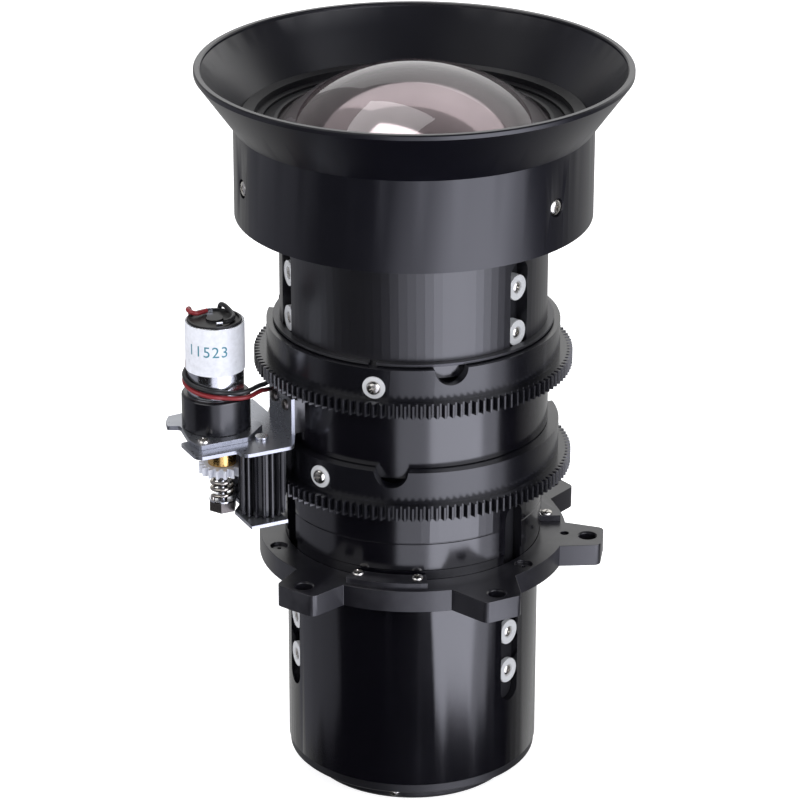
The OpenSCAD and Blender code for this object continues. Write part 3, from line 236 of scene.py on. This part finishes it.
def placeGroup(tree, group, values):
    node = tree.nodes.new("ShaderNodeGroup")
    node.node_tree = group
    for label, value in values.items():
        if hasattr(value, "links"):
            tree.links.new(value, node.inputs[label])
        else:
            node.inputs[label].default_value = value
    return node


def finish(name, colour, rough, metal=0.0, specular=0.5, grain=2500.0, spread=0.06, depth=0.03,
           turned=None, worn=None, wear=0.0, dust=0.0, upper=None):
    material = bpy.data.materials.new(name)
    material.use_nodes = True
    tree = material.node_tree
    shader = tree.nodes["Principled BSDF"]
    full = (*colour, 1.0)
    grainNode = placeGroup(tree, grainGroup, {"Colour": full, "Scale": grain, "Rough": rough,
                                              "Spread": spread, "Depth": depth})
    colourOut, normalOut = grainNode.outputs["Colour"], grainNode.outputs["Normal"]
    if worn:
        wearNode = placeGroup(tree, wearGroup, {"Colour": colourOut, "Worn": (*worn, 1.0),
                                                "Amount": wear, "Dust": dust})
        colourOut = wearNode.outputs["Colour"]
    if turned:
        lines = placeGroup(tree, turningGroup, {"Spacing": turned[0], "Depth": turned[1], "Normal": normalOut})
        normalOut = lines.outputs["Normal"]
    tree.links.new(colourOut, shader.inputs["Base Color"])
    roughOut = grainNode.outputs["Roughness"]
    if upper:  # the part above this height was turned more coarsely
        split = tree.nodes.new("ShaderNodeSeparateXYZ")
        tree.links.new(tree.nodes.new("ShaderNodeTexCoord").outputs["Object"], split.inputs[0])
        high_ = rangeNode(tree, split.outputs["Z"], upper[0], upper[0] + 0.001, 0.0, upper[1])
        roughOut = mathNode(tree, "ADD", roughOut, high_)
    tree.links.new(roughOut, shader.inputs["Roughness"])
    tree.links.new(normalOut, shader.inputs["Normal"])
    shader.inputs["Metallic"].default_value = metal
    shader.inputs["Specular IOR Level"].default_value = specular
    return material


def glassFinish(name, tint, film=0.0, ior=1.6):
    material = bpy.data.materials.new(name)
    material.use_nodes = True
    shader = material.node_tree.nodes["Principled BSDF"]
    shader.inputs["Base Color"].default_value = (*tint, 1.0)
    shader.inputs["Roughness"].default_value = 0.0
    shader.inputs["Transmission Weight"].default_value = 1.0
    shader.inputs["IOR"].default_value = ior
    if film:
        shader.inputs["Thin Film Thickness"].default_value = film
        shader.inputs["Thin Film IOR"].default_value = 1.38
    return material


paints = {
    "barrel": finish("barrelAnodised", (0.003, 0.0028, 0.0046), 0.16, specular=0.8, grain=3000, depth=0.006,
                     spread=0.02, turned=(0.00035, 0.02), worn=(0.03, 0.03, 0.04), wear=0.2,
                     upper=(0.082, 0.17)),
    "flange": finish("flangeBlasted", (0.006, 0.0057, 0.0085), 0.32, specular=0.6, grain=2200, depth=0.03,
                     spread=0.03, worn=(0.16, 0.16, 0.18), wear=0.5, dust=0.06),
    "hood": finish("hoodSatin", (0.0035, 0.0034, 0.0062), 0.3, specular=0.55, grain=2600, depth=0.012,
                   spread=0.02, worn=(0.04, 0.04, 0.05), wear=0.25, dust=0.0),
    "gear": finish("gearPlastic", (0.004, 0.004, 0.006), 0.24, specular=0.6, grain=3200, depth=0.012,
                   spread=0.03, worn=(0.08, 0.08, 0.095), wear=0.4, dust=0.05),
    "cell": finish("cellBlack", (0.0035, 0.0034, 0.0048), 0.42, specular=0.45, turned=(0.0004, 0.15), depth=0.05),
    "blackSteel": finish("blackSteel", (0.05, 0.05, 0.055), 0.35, metal=0.6, depth=0.03),
    "cam": finish("camBlack", (0.004, 0.004, 0.005), 0.5, specular=0.3, turned=(0.0005, 0.1)),
    "cap": finish("capPlastic", (0.0045, 0.0045, 0.005), 0.45, specular=0.4, depth=0.04),
    "white": finish("whiteAcetal", (0.6, 0.61, 0.63), 0.4, specular=0.5, depth=0.03, dust=0.0,
                    worn=(0.85, 0.85, 0.85), wear=0.2),
    "nickel": finish("nickelScrew", (0.62, 0.6, 0.56), 0.24, metal=1.0, depth=0.06, spread=0.08,
                     worn=(0.8, 0.78, 0.74), wear=0.4, dust=0.08),
    "sheet": finish("zincSheet", (0.27, 0.28, 0.31), 0.3, metal=0.9, depth=0.08, grain=900, spread=0.1,
                    worn=(0.8, 0.8, 0.82), wear=0.5, dust=0.1),
    "can": finish("platedCan", (0.6, 0.61, 0.64), 0.2, metal=1.0, depth=0.02, spread=0.05),
    "film": finish("whiteFilm", (0.84, 0.86, 0.93), 0.32, specular=0.5, depth=0.02, grain=700),
    "ink": finish("tealInk", (0.03, 0.22, 0.3), 0.5, depth=0.02),
    "whiteGear": finish("whiteGear", (0.66, 0.68, 0.75), 0.38, depth=0.03),
    "brass": finish("turnedBrass", (0.68, 0.44, 0.16), 0.25, metal=1.0, turned=(0.0005, 0.2)),
    "spring": finish("springWire", (0.42, 0.39, 0.35), 0.22, metal=1.0, depth=0.03),
    "dark": finish("darkSteel", (0.12, 0.11, 0.105), 0.34, metal=0.9, depth=0.06, spread=0.1),
    "red": finish("redLead", (0.24, 0.02, 0.025), 0.4, specular=0.45, depth=0.02),
    "black": finish("blackLead", (0.01, 0.01, 0.011), 0.4, specular=0.45, depth=0.02),
    "plug": finish("plugNylon", (0.7, 0.67, 0.58), 0.42, depth=0.03),
    "frontGlass": glassFinish("coatedFrontGlass", (0.97, 0.95, 0.97), ior=1.45),
    # the grey of the band inside the front lens is painted reflection: it stands for the haze that the glass
    # reflects
    "paintedReflectionBand": finish("paintedReflectionBand", (0.3, 0.28, 0.285), 0.25, specular=0.9, grain=60, depth=0.0),
    "lensHeart": finish("lensHeart", (0.44, 0.37, 0.38), 0.07, metal=0.7, grain=60, depth=0.0, spread=0.0),
    "innerGlass": glassFinish("coatedInnerGlass", (0.9, 0.93, 0.95), 380.0),
}
print("materials made:", len(paints))


# Making and finishing pieces
def addPiece(name, bm, paint, body, replaced=()):
    mesh = bpy.data.meshes.new(name)
    bm.to_mesh(mesh)
    bm.free()
    mesh.materials.append(paints[paint])
    piece = bpy.data.objects.new(name, mesh)
    bpy.context.scene.collection.objects.link(piece)
    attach(piece, body)
    if replaced:
        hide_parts(*replaced)
    return piece


def smooth(piece, angle=35.0):
    piece.data.shade_smooth()
    piece.data.set_sharp_from_angle(angle=math.radians(angle))


def softenEdges(piece, width, segments=2, angle=17.0):
    bevel = piece.modifiers.new("bevel", "BEVEL")
    bevel.width = width
    bevel.segments = segments
    bevel.limit_method = "ANGLE"
    bevel.angle_limit = math.radians(angle)
    bevel.use_clamp_overlap = True
    bevel.harden_normals = True


mergeWithin, nearlyFlat = 2e-6, math.radians(0.15)


def mergedCopy(node):
    bm = bmesh.new()
    bm.from_mesh(nodeObjects[node].data)
    bmesh.ops.remove_doubles(bm, verts=bm.verts, dist=mergeWithin)
    bmesh.ops.dissolve_limit(bm, angle_limit=nearlyFlat, verts=bm.verts, edges=bm.edges)
    return bm


def dress(node, paint, width=0.0002, segments=2):
    piece = addPiece(node + ".dressed", mergedCopy(node), paint, bodyOf[node], (node,))
    smooth(piece, 18.0)
    softenEdges(piece, width, segments)
    return piece


def paintNode(node, paint):
    mesh = nodeObjects[node].data
    mesh.materials.clear()
    mesh.materials.append(paints[paint])


dressed = {
    "main_barrel": ("barrel", 0.25), "mount_flange": ("flange", 0.45), "flange_arc_plates": ("flange", 0.15),
    "hood": ("hood", 0.3), "front_cell": ("cell", 0.2), "front_retainer": ("cell", 0.15),
    "zoom_ring": ("gear", 0.12), "focus_ring": ("gear", 0.12), "zoom_ring_retainer": ("blackSteel", 0.1),
    "focus_ring_retainer": ("blackSteel", 0.1), "zoom_rollers": ("white", 0.25), "focus_rollers": ("white", 0.25),
    "zoom_ring_washers": ("white", 0.2), "focus_ring_washers": ("white", 0.2), "rear_cell": ("cell", 0.3),
    "motor_bracket": ("sheet", 0.12), "motor_plate": ("sheet", 0.12), "gearbox": ("gear", 0.3),
    "motor_can": ("can", 0.3), "motor_wrap": ("film", 0.08), "motor_cap": ("cap", 0.15),
    "motor_terminals": ("can", 0.06), "idler_pinion": ("gear", 0.12), "idler_pin": ("can", 0.15),
    "idler_clip": ("dark", 0.08), "output_shaft": ("can", 0.15), "clutch_bush": ("brass", 0.2),
    "clutch_gear": ("whiteGear", 0.12), "clutch_washer": ("can", 0.08), "clutch_nut": ("dark", 0.2),
    "lead_plug": ("plug", 0.3), "lead_clip": ("gear", 0.15),
}
for node, (paint, width) in dressed.items():
    dress(node, paint, width * mm)
inner = {
    "zoom_cam_tube": "cam", "zoom_carrier": "cam", "focus_cam_tube": "cam", "focus_carrier": "cam",
    "middle_cell": "cell", "zoom_glass_front": "innerGlass", "zoom_glass_rear": "innerGlass",
    "focus_glass_front": "innerGlass", "focus_glass_rear": "innerGlass", "middle_glass": "innerGlass",
    "second_glass": "innerGlass", "rear_glass": "innerGlass",
}
for node, paint in inner.items():
    paintNode(node, paint)
print("nodes dressed:", len(dressed) + len(inner))


# Screws with a domed head and a cross recess, one at each solid of the CAD group
def looseParts(node):
    bm = bmesh.new()
    bm.from_mesh(nodeObjects[node].data)
    bmesh.ops.remove_doubles(bm, verts=bm.verts, dist=mergeWithin)
    seen, parts = set(), []
    for start in bm.verts:
        if start.index in seen:
            continue
        stack, part = [start], []
        seen.add(start.index)
        while stack:
            v = stack.pop()
            part.append(v.co.copy())
            for e in v.link_edges:
                other = e.other_vert(v)
                if other.index not in seen:
                    seen.add(other.index)
                    stack.append(other)
        parts.append(part)
    bm.free()
    return parts


def headMesh(radius, height, shank, length, recess):
    bm = bmesh.new()
    rim = [(0.0, height), (radius * 0.45, height * 0.96), (radius * 0.75, height * 0.82),
           (radius * 0.93, height * 0.5), (radius, height * 0.12), (radius, 0.0), (shank, 0.0), (shank, -length),
           (0.0, -length)]
    verts = [bm.verts.new((r, 0, z)) for r, z in rim]
    edges = [bm.edges.new(pair) for pair in zip(verts, verts[1:])]
    bmesh.ops.spin(bm, geom=verts + edges, cent=(0, 0, 0), axis=(0, 0, 1), angle=2 * math.pi, steps=32,
                   use_merge=True)
    bmesh.ops.remove_doubles(bm, verts=bm.verts, dist=1e-7)
    bmesh.ops.recalc_face_normals(bm, faces=bm.faces)
    head = bpy.data.meshes.new("head")
    bm.to_mesh(head)
    bm.free()
    cutter = bmesh.new()
    for turn in (0, math.pi / 2):
        made = bmesh.ops.create_cube(cutter, size=1.0)["verts"]
        bmesh.ops.scale(cutter, vec=(recess * 2, recess * 0.34, height * 1.5), verts=made)
        bmesh.ops.translate(cutter, vec=(0, 0, height * 1.15), verts=made)
        bottom = [v for v in made if v.co.z < height]
        bmesh.ops.scale(cutter, vec=(0.55, 0.6, 1), verts=bottom)
        bmesh.ops.rotate(cutter, matrix=Matrix.Rotation(turn, 3, "Z"), cent=(0, 0, 0), verts=made)
    cross = bpy.data.meshes.new("cross")
    cutter.to_mesh(cross)
    cutter.free()
    headObject = bpy.data.objects.new("head", head)
    crossObject = bpy.data.objects.new("cross", cross)
    for o in (headObject, crossObject):
        bpy.context.scene.collection.objects.link(o)
    cut = headObject.modifiers.new("cut", "BOOLEAN")
    cut.object = crossObject
    cut.solver = "EXACT"
    cut.use_self = True
    made = bpy.data.meshes.new_from_object(headObject.evaluated_get(bpy.context.evaluated_depsgraph_get()))
    for o in (headObject, crossObject):
        bpy.data.objects.remove(o)
    return made


def screwGroup(node, radius, height, shank, paint, radial=True, recess=0.74, twist=17.0):
    bm = bmesh.new()
    for i, part in enumerate(looseParts(node)):
        centre = sum(part, Vector()) / len(part)
        if radial:
            az = math.atan2(centre.y, centre.x)
            out = Vector((math.cos(az), math.sin(az), 0))
            top = max(p.dot(out) for p in part)
            bottom = min(p.dot(out) for p in part)
            zs = [p.z for p in part]
            base = out * (top - height) + Vector((0, 0, (min(zs) + max(zs)) / 2))
        else:
            out = Vector((0, 0, 1))
            top = max(p.z for p in part)
            bottom = min(p.z for p in part)
            xs, ys = [p.x for p in part], [p.y for p in part]
            base = Vector(((min(xs) + max(xs)) / 2, (min(ys) + max(ys)) / 2, top - height))
        head = headMesh(radius, height, shank, top - height - bottom, radius * recess)
        turn = out.to_track_quat("Z", "Y").to_matrix().to_4x4()
        spin = Matrix.Rotation(math.radians(twist * (i * i + 2 * i + 1)), 4, "Z")
        head.transform(Matrix.Translation(base) @ turn @ spin)
        bm.from_mesh(head)
        bpy.data.meshes.remove(head)
    piece = addPiece(node + ".heads", bm, paint, bodyOf[node], (node,))
    smooth(piece, 30)
    return piece


screws = {
    "hood_screws": dict(radius=2.8, height=1.5, shank=1.5, paint="nickel"),
    "rear_cell_screws": dict(radius=1.9, height=0.9, shank=0.8, paint="nickel"),
    "zoom_ring_screws": dict(radius=2.35, height=1.3, shank=1.5, paint="nickel"),
    "focus_ring_screws": dict(radius=2.35, height=1.3, shank=1.5, paint="nickel"),
    "zoom_roller_screws": dict(radius=1.9, height=0.9, shank=1.0, paint="nickel"),
    "focus_roller_screws": dict(radius=1.9, height=0.9, shank=1.0, paint="nickel"),
    "arc_plate_screws": dict(radius=1.9, height=0.9, shank=0.8, paint="nickel", radial=False),
    "motor_plate_screws": dict(radius=1.9, height=1.1, shank=1.0, paint="nickel", radial=False),
}
for node, sizes in screws.items():
    kept = {k: v * mm if k in ("radius", "height", "shank") else v for k, v in sizes.items()}
    screwGroup(node, **kept)
print("screws made")


# Bracket screws point along the bracket's own direction, not straight from the lens axis
bracketAz = -153.5  # the bracket's outward direction, in degrees
bracketScrews = {"radius": 1.9, "height": 1.2, "shank": 1.0}


def makeBracketScrews():
    az = math.radians(bracketAz)
    out = Vector((math.cos(az), math.sin(az), 0))
    side = Vector((-math.sin(az), math.cos(az), 0))
    height = bracketScrews["height"] * mm
    bm = bmesh.new()
    for part in looseParts("bracket_screws"):
        top = max(p.dot(out) for p in part)
        bottom = min(p.dot(out) for p in part)
        across = [p.dot(side) for p in part]
        up = [p.z for p in part]
        head = headMesh(bracketScrews["radius"] * mm, height, bracketScrews["shank"] * mm,
                        top - height - bottom, bracketScrews["radius"] * 0.62 * mm)
        base = out * (top - height) + side * ((min(across) + max(across)) / 2)
        base += Vector((0, 0, (min(up) + max(up)) / 2))
        head.transform(Matrix.Translation(base) @ out.to_track_quat("Z", "Y").to_matrix().to_4x4())
        bm.from_mesh(head)
        bpy.data.meshes.remove(head)
    smooth(addPiece("bracket_screws.heads", bm, "dark", "lens_body",
                    ("bracket_screws",)), 30)


makeBracketScrews()


# Lenses made by spinning a fine profile
def spinProfile(points, steps, centre=(0, 0)):
    bm = bmesh.new()
    verts = [bm.verts.new((r + centre[0], centre[1], z)) for r, z in points]
    edges = [bm.edges.new(pair) for pair in zip(verts, verts[1:])]
    bmesh.ops.spin(bm, geom=verts + edges, cent=(*centre, 0), axis=(0, 0, 1), angle=2 * math.pi,
                   steps=steps, use_merge=True)
    bmesh.ops.remove_doubles(bm, verts=bm.verts, dist=1e-7)
    bmesh.ops.recalc_face_normals(bm, faces=bm.faces)
    return bm


frontLens = {"dome": 60.0, "edge": 43.1, "rows": 26, "bandEdge": 42.4, "heartR": 31.0, "heartDome": 44.0,
             "heartLift": 3.8, "bandDrop": 0.6}


def makeFrontLens():  # clear dome over a grey band whose colour is painted reflection, standing for the haze seen in the glass, and the glossy heart of the lens under it
    seat = low("front_glass")[2]
    dome, edge = frontLens["dome"] * mm, frontLens["edge"] * mm
    heart, heartDome = frontLens["heartR"] * mm, frontLens["heartDome"] * mm
    domeCentre = high("front_glass")[2] - dome
    heartFoot = seat + frontLens["heartLift"] * mm
    heartCentre = heartFoot - math.sqrt(heartDome ** 2 - heart ** 2)
    rows = frontLens["rows"]
    under = [(heart * i / rows, heartCentre + math.sqrt(heartDome ** 2 - (heart * i / rows) ** 2))
             for i in range(rows + 1)]
    under += [(frontLens["bandEdge"] * mm, seat + frontLens["bandDrop"] * mm)]
    over = [(edge * (rows - i) / rows, domeCentre + math.sqrt(dome ** 2 - (edge * (rows - i) / rows) ** 2))
            for i in range(rows + 1)]
    points = under + [(edge, seat)] + over
    piece = addPiece("front_glass.dome", spinProfile(points, 160), "frontGlass", "lens_body",
                     ("front_glass",))
    piece.data.materials.append(paints["paintedReflectionBand"])
    piece.data.materials.append(paints["lensHeart"])
    # faces under the dome: the outer ring gets the grey painted reflection band, the middle the glossy heart
    for face in piece.data.polygons:
        reach = math.hypot(face.center.x, face.center.y)
        domeZ = domeCentre + math.sqrt(dome ** 2 - reach ** 2)
        if face.center.z < domeZ - 0.5 * mm:
            face.material_index = 2 if reach < heart else 1
    smooth(piece, 30)


makeFrontLens()
print("front lens made")


# Clutch spring: a round wire, squared off at both ends
spring = {"coilR": 3.4, "wire": 1.3, "curls": 3}


def tubeAlong(points, radius, sides=16):
    bm = bmesh.new()
    ring = None
    normal = Vector((0.31, 0.2, 0.93))
    for i, p in enumerate(points):
        ahead = points[min(i + 1, len(points) - 1)] - points[max(i - 1, 0)]
        ahead.normalize()
        normal = (normal - ahead * normal.dot(ahead)).normalized()
        across = ahead.cross(normal)
        turns = [2 * math.pi * k / sides for k in range(sides)]
        new = [bm.verts.new(p + (normal * math.cos(a) + across * math.sin(a)) * radius) for a in turns]
        if ring:
            for k in range(sides):
                bm.faces.new((ring[k - 1], ring[k], new[k], new[k - 1]))
        else:
            bm.faces.new(new)
        ring = new
    bm.faces.new(ring)
    bmesh.ops.recalc_face_normals(bm, faces=bm.faces)
    return bm


def smoothRoute(points, steps):
    dense = []
    for i in range(len(points) - 1):
        a, b = points[max(i - 1, 0)], points[i]
        c, d = points[i + 1], points[min(i + 2, len(points) - 1)]
        for k in range(steps):
            t = k / steps
            dense.append(0.5 * ((2 * b) + (c - a) * t + (2 * a - 5 * b + 4 * c - d) * t * t
                                + (3 * b - a - 3 * c + d) * t ** 3))
    dense.append(points[-1])
    return dense


def makeSpring():
    lowZ, highZ = low("clutch_spring")[2], high("clutch_spring")[2]
    az = math.radians(bracketAz)
    axisX, axisY = middleOf("clutch_nut")
    wire, radius = spring["wire"] * mm, spring["coilR"] * mm
    count = int(spring["curls"] * 32)
    rise = highZ - lowZ - 2 * wire
    points = [Vector((radius, 0, 0)), Vector((radius, 0, wire * 0.5))]
    for i in range(count + 1):
        a = 2 * math.pi * spring["curls"] * i / count
        points.append(Vector((radius * math.cos(a), radius * math.sin(a), wire + rise * i / count)))
    last = points[-1]
    points += [last + Vector((0, 0, wire * 0.5)), last + Vector((0, 0, wire))]
    bm = tubeAlong(points, wire / 2)
    bmesh.ops.rotate(bm, matrix=Matrix.Rotation(az, 3, "Z"), cent=(0, 0, 0), verts=bm.verts)
    bmesh.ops.translate(bm, vec=(axisX, axisY, lowZ), verts=bm.verts)
    smooth(addPiece("clutch_spring.wire", bm, "spring", "clutch",
                    ("clutch_spring",)), 50)


makeSpring()


# Plain batch digits printed on the motor's white film
digits = {"text": "11523", "height": 3.7, "az": -103.0, "rise": 0.42, "proud": 0.02}


def makeDigits():
    lowest, highest = low("motor_wrap"), high("motor_wrap")
    centreX, centreY = middleOf("motor_wrap")
    radius = (highest[0] - lowest[0]) / 2 + digits["proud"] * mm
    curve = bpy.data.curves.new("digits", "FONT")
    curve.body = digits["text"]
    curve.size = digits["height"] / 0.72 * mm
    curve.align_x = "CENTER"
    curve.space_character = 1.12
    curve.resolution_u = 3
    writing = bpy.data.objects.new("digits", curve)
    bpy.context.scene.collection.objects.link(writing)
    flat = bpy.data.meshes.new_from_object(writing.evaluated_get(bpy.context.evaluated_depsgraph_get()))
    bpy.data.objects.remove(writing)
    bm = bmesh.new()
    bm.from_mesh(flat)
    bpy.data.meshes.remove(flat)
    bmesh.ops.triangulate(bm, faces=bm.faces)
    bmesh.ops.subdivide_edges(bm, edges=bm.edges, cuts=1)
    base = lowest[2] + (highest[2] - lowest[2]) * digits["rise"]
    for v in bm.verts:
        turn = math.radians(digits["az"]) + v.co.x / radius
        v.co = Vector((centreX + radius * math.cos(turn), centreY + radius * math.sin(turn), base + v.co.y))
    addPiece("motor_wrap.digits", bm, "ink", "lens_body")


makeDigits()

# Motor leads: the same listed routes as in the part, from the motor's cap to the plug
leads = {"diameter": 1.5, "wrapR": 9.95, "wrapTo": 288, "wrapStep": 16, "rise": 4.4, "blackFrom": 112,
         "roundR": 44.9, "roundFrom": 184, "roundTo": 96, "roundStep": 8}
redTop = [(-2.7, 4.9, 1.1), (-4.4, 3.3, 1.1), (-5.9, 2.1, 1.2), (-7.5, 2.3, 1.6), (-8.6, 4, 1.7),
          (-8.3, 6.2, 1.2), (-8, 6.9, -1.2), (-8, 6.7, -5), (-8.4, 7.2, -9), (-8.9, 7.6, -12.6),
          (-9.3, 7.3, -16.4), (-9.5, 6.8, -19.4)]
blackTop = [(3.3, -5.2, 1.2), (4.9, -3.4, 1), (5.9, -0.6, 1), (5.6, 2.4, 1), (4.4, 5.4, 1.3), (2.8, 8, 1.7),
            (1.5, 10.1, 1.2), (1, 10.7, -0.8), (0.8, 10.5, -5), (0.6, 10.4, -10),
            (0.1, 10.4, -13.6), (-1.3, 10.4, -16.4)]
redOut = [(-55, -33.2, 66.5), (-51.6, -30.8, 66.3), (-49.5, -26.4, 65.8), (-48.2, -21.8, 64.6),
          (-47.4, -17.6, 63), (-46.8, -12.8, 61.2), (-46, -8, 59.2)]
blackOut = [(-55.2, -33.4, 68.4), (-51.8, -31, 68.4), (-49.8, -27, 67.9), (-48.5, -22.5, 66.7),
            (-47.6, -18, 65.2), (-46.9, -12.8, 63.6), (-46.2, -8, 61.9)]


def leadRoute(top, fromAz, over, out, roundZ):
    canX, canY = (v / mm for v in middleOf("motor_can"))
    canTop, canFoot = high("motor_can")[2] / mm, low("motor_can")[2] / mm
    points = [(canX + x, canY + y, canTop + z) for x, y, z in top]
    span = leads["wrapTo"] - leads["blackFrom"]
    for a in range(fromAz, leads["wrapTo"] + 1, leads["wrapStep"]):
        points.append((canX + leads["wrapR"] * math.cos(math.radians(a)),
                       canY + leads["wrapR"] * math.sin(math.radians(a)),
                       canFoot + over + leads["rise"] * (leads["wrapTo"] - a) / span))
    points += out
    for a in range(leads["roundFrom"], leads["roundTo"] - 1, -leads["roundStep"]):
        points.append((leads["roundR"] * math.cos(math.radians(a)),
                       leads["roundR"] * math.sin(math.radians(a)), roundZ))
    return [Vector(p) * mm for p in points]


routes = {
    "motor_lead_red": (leadRoute(redTop, 160, 1.3, redOut, 56.4), "red"),
    "motor_lead_black": (leadRoute(blackTop, 112, 3.1, blackOut, 58.3), "black"),
}
for node, (route, paint) in routes.items():
    bm = tubeAlong(smoothRoute(route, 5), leads["diameter"] * mm / 2, 14)
    smooth(addPiece(node + ".wire", bm, paint, "lens_body", (node,)), 50)
print("spring and leads made")

# Stage: pale floor, white surroundings and soft boxes
stage = {"floor": -0.07645, "size": 6.0, "glow": 0.75, "glowInGloss": 0.25, "ambient": 0.35}


def lightPathFactor(tree, glossy):
    path = tree.nodes.new("ShaderNodeLightPath").outputs
    seen = mathNode(tree, "MAXIMUM", path["Is Glossy Ray"], path["Is Transmission Ray"])
    return mathNode(tree, "MAXIMUM", path["Is Camera Ray"], mathNode(tree, "MULTIPLY", seen, glossy))


def makeFloor():
    bm = bmesh.new()
    bmesh.ops.create_grid(bm, x_segments=1, y_segments=1, size=stage["size"])
    bmesh.ops.translate(bm, vec=(0, 0, stage["floor"]), verts=bm.verts)
    mesh = bpy.data.meshes.new("floor")
    bm.to_mesh(mesh)
    bm.free()
    floor = bpy.data.objects.new("floor", mesh)
    bpy.context.scene.collection.objects.link(floor)
    material = bpy.data.materials.new("paleFloor")
    material.use_nodes = True
    tree = material.node_tree
    shader = tree.nodes["Principled BSDF"]
    shader.inputs["Base Color"].default_value = (0.86, 0.86, 0.87, 1)
    shader.inputs["Roughness"].default_value = 0.8
    shader.inputs["Emission Color"].default_value = (1, 1, 1, 1)
    glow = lightPathFactor(tree, stage["glowInGloss"])
    tree.links.new(mathNode(tree, "MULTIPLY", glow, stage["glow"]),
                   shader.inputs["Emission Strength"])
    mesh.materials.append(material)
    floor.visible_glossy = False


def makeWorld():
    world = bpy.data.worlds.new("surroundings")
    bpy.context.scene.world = world
    world.use_nodes = True
    tree = world.node_tree
    background = tree.nodes["Background"]
    direction = tree.nodes.new("ShaderNodeTexCoord").outputs["Generated"]
    split = tree.nodes.new("ShaderNodeSeparateXYZ")
    tree.links.new(direction, split.inputs[0])
    behind = rangeNode(tree, split.outputs["Y"], 0.1, 0.7, 0.0, 0.5)
    path = tree.nodes.new("ShaderNodeLightPath").outputs
    seen = mathNode(tree, "MAXIMUM", path["Is Glossy Ray"], path["Is Transmission Ray"])
    ambient = mathNode(tree, "MULTIPLY", mathNode(tree, "SUBTRACT", 1.0, seen), stage["ambient"])
    shown = mathNode(tree, "MAXIMUM", path["Is Camera Ray"], mathNode(tree, "MULTIPLY", seen, behind))
    tree.links.new(mathNode(tree, "MAXIMUM", shown, ambient), background.inputs["Strength"])
    background.inputs["Color"].default_value = (1, 1, 1, 1)


softBoxes = {
    "rightBox": {"from": 20, "to": 80, "reach": 1.35, "z": (0.1, 1.3), "power": 12.0, "colour": (0.95, 0.96, 1)},
    "leftBox": {"from": -80, "to": -20, "reach": 1.5, "z": (0.1, 1.3), "power": 11.0, "colour": (0.97, 0.97, 1)},
    "backBox": {"from": 120, "to": 200, "reach": 1.6, "z": (0.2, 1.3), "power": 6.0, "colour": (1, 1, 1)},
}
# White cards that only show in reflections: directions right of the camera in degrees, height and glow
cards = {
    "wideCard": {"from": 14, "to": 60, "z": (-1.0, 0.9), "glow": 4.2},
    "farCard": {"from": 60, "to": 76, "z": (-1.0, 0.9), "glow": 1.8},
    "narrowCard": {"from": -14, "to": 14, "z": (-1.0, 0.5), "glow": 1.5},
    "sideCard": {"from": -128, "to": -72, "z": (-1.0, 0.9), "glow": 0.35},
}
cardReach, cardSteps = 1.3, 24
cardColour = (0.86, 0.87, 1, 1)


def makeCard(name, s):
    bm = bmesh.new()
    turn = math.radians(s["from"])
    foot = bm.verts.new((math.sin(turn) * cardReach, -math.cos(turn) * cardReach, s["z"][0]))
    head = bm.verts.new((foot.co.x, foot.co.y, s["z"][1]))
    edge = bm.edges.new((foot, head))
    bmesh.ops.spin(bm, geom=[foot, head, edge], cent=(0, 0, 0), axis=(0, 0, 1),
                   angle=math.radians(s["to"] - s["from"]), steps=cardSteps)
    mesh = bpy.data.meshes.new(name)
    bm.to_mesh(mesh)
    bm.free()
    card = bpy.data.objects.new(name, mesh)
    bpy.context.scene.collection.objects.link(card)
    material = bpy.data.materials.new(name)
    material.use_nodes = True
    shader = material.node_tree.nodes["Principled BSDF"]
    shader.inputs["Base Color"].default_value = (0, 0, 0, 1)
    shader.inputs["Emission Color"].default_value = cardColour
    shader.inputs["Emission Strength"].default_value = s["glow"]
    material.cycles.emission_sampling = "NONE"
    mesh.materials.append(material)
    card.visible_camera = False
    card.visible_diffuse = False
    card.visible_transmission = False
    card.visible_shadow = False


def makeSoftBox(name, s):  # an upright panel; from and to are directions right of the camera, in degrees
    ends = [Vector((math.sin(math.radians(a)), -math.cos(math.radians(a)), 0)) * s["reach"]
            for a in (s["from"], s["to"])]
    data = bpy.data.lights.new(name, "AREA")
    data.shape = "RECTANGLE"
    data.size = (ends[1] - ends[0]).length
    data.size_y = s["z"][1] - s["z"][0]
    data.energy = s["power"]
    data.color = s["colour"]
    box = bpy.data.objects.new(name, data)
    middle = (ends[0] + ends[1]) / 2 + Vector((0, 0, (s["z"][0] + s["z"][1]) / 2))
    inward = Vector((-middle.x, -middle.y, 0))
    box.matrix_world = Matrix.Translation(middle) @ inward.to_track_quat("-Z", "Y").to_matrix().to_4x4()
    box.visible_camera = False
    bpy.context.scene.collection.objects.link(box)


topBox = {"size": 0.9, "power": 9.0, "place": (-0.35, 0.25, 1.5)}


def makeTopBox():
    data = bpy.data.lights.new("topBox", "AREA")
    data.size = topBox["size"]
    data.energy = topBox["power"]
    box = bpy.data.objects.new("topBox", data)
    place = Vector(topBox["place"])
    box.matrix_world = Matrix.Translation(place) @ (-place).to_track_quat("-Z", "Y").to_matrix().to_4x4()
    box.visible_camera = False
    bpy.context.scene.collection.objects.link(box)


makeFloor()
makeWorld()
for name, sizes in softBoxes.items():
    makeSoftBox(name, sizes)
makeTopBox()
for name, sizes in cards.items():
    makeCard(name, sizes)
bpy.context.scene.view_settings.view_transform = "Standard"
print("stage and lights made")
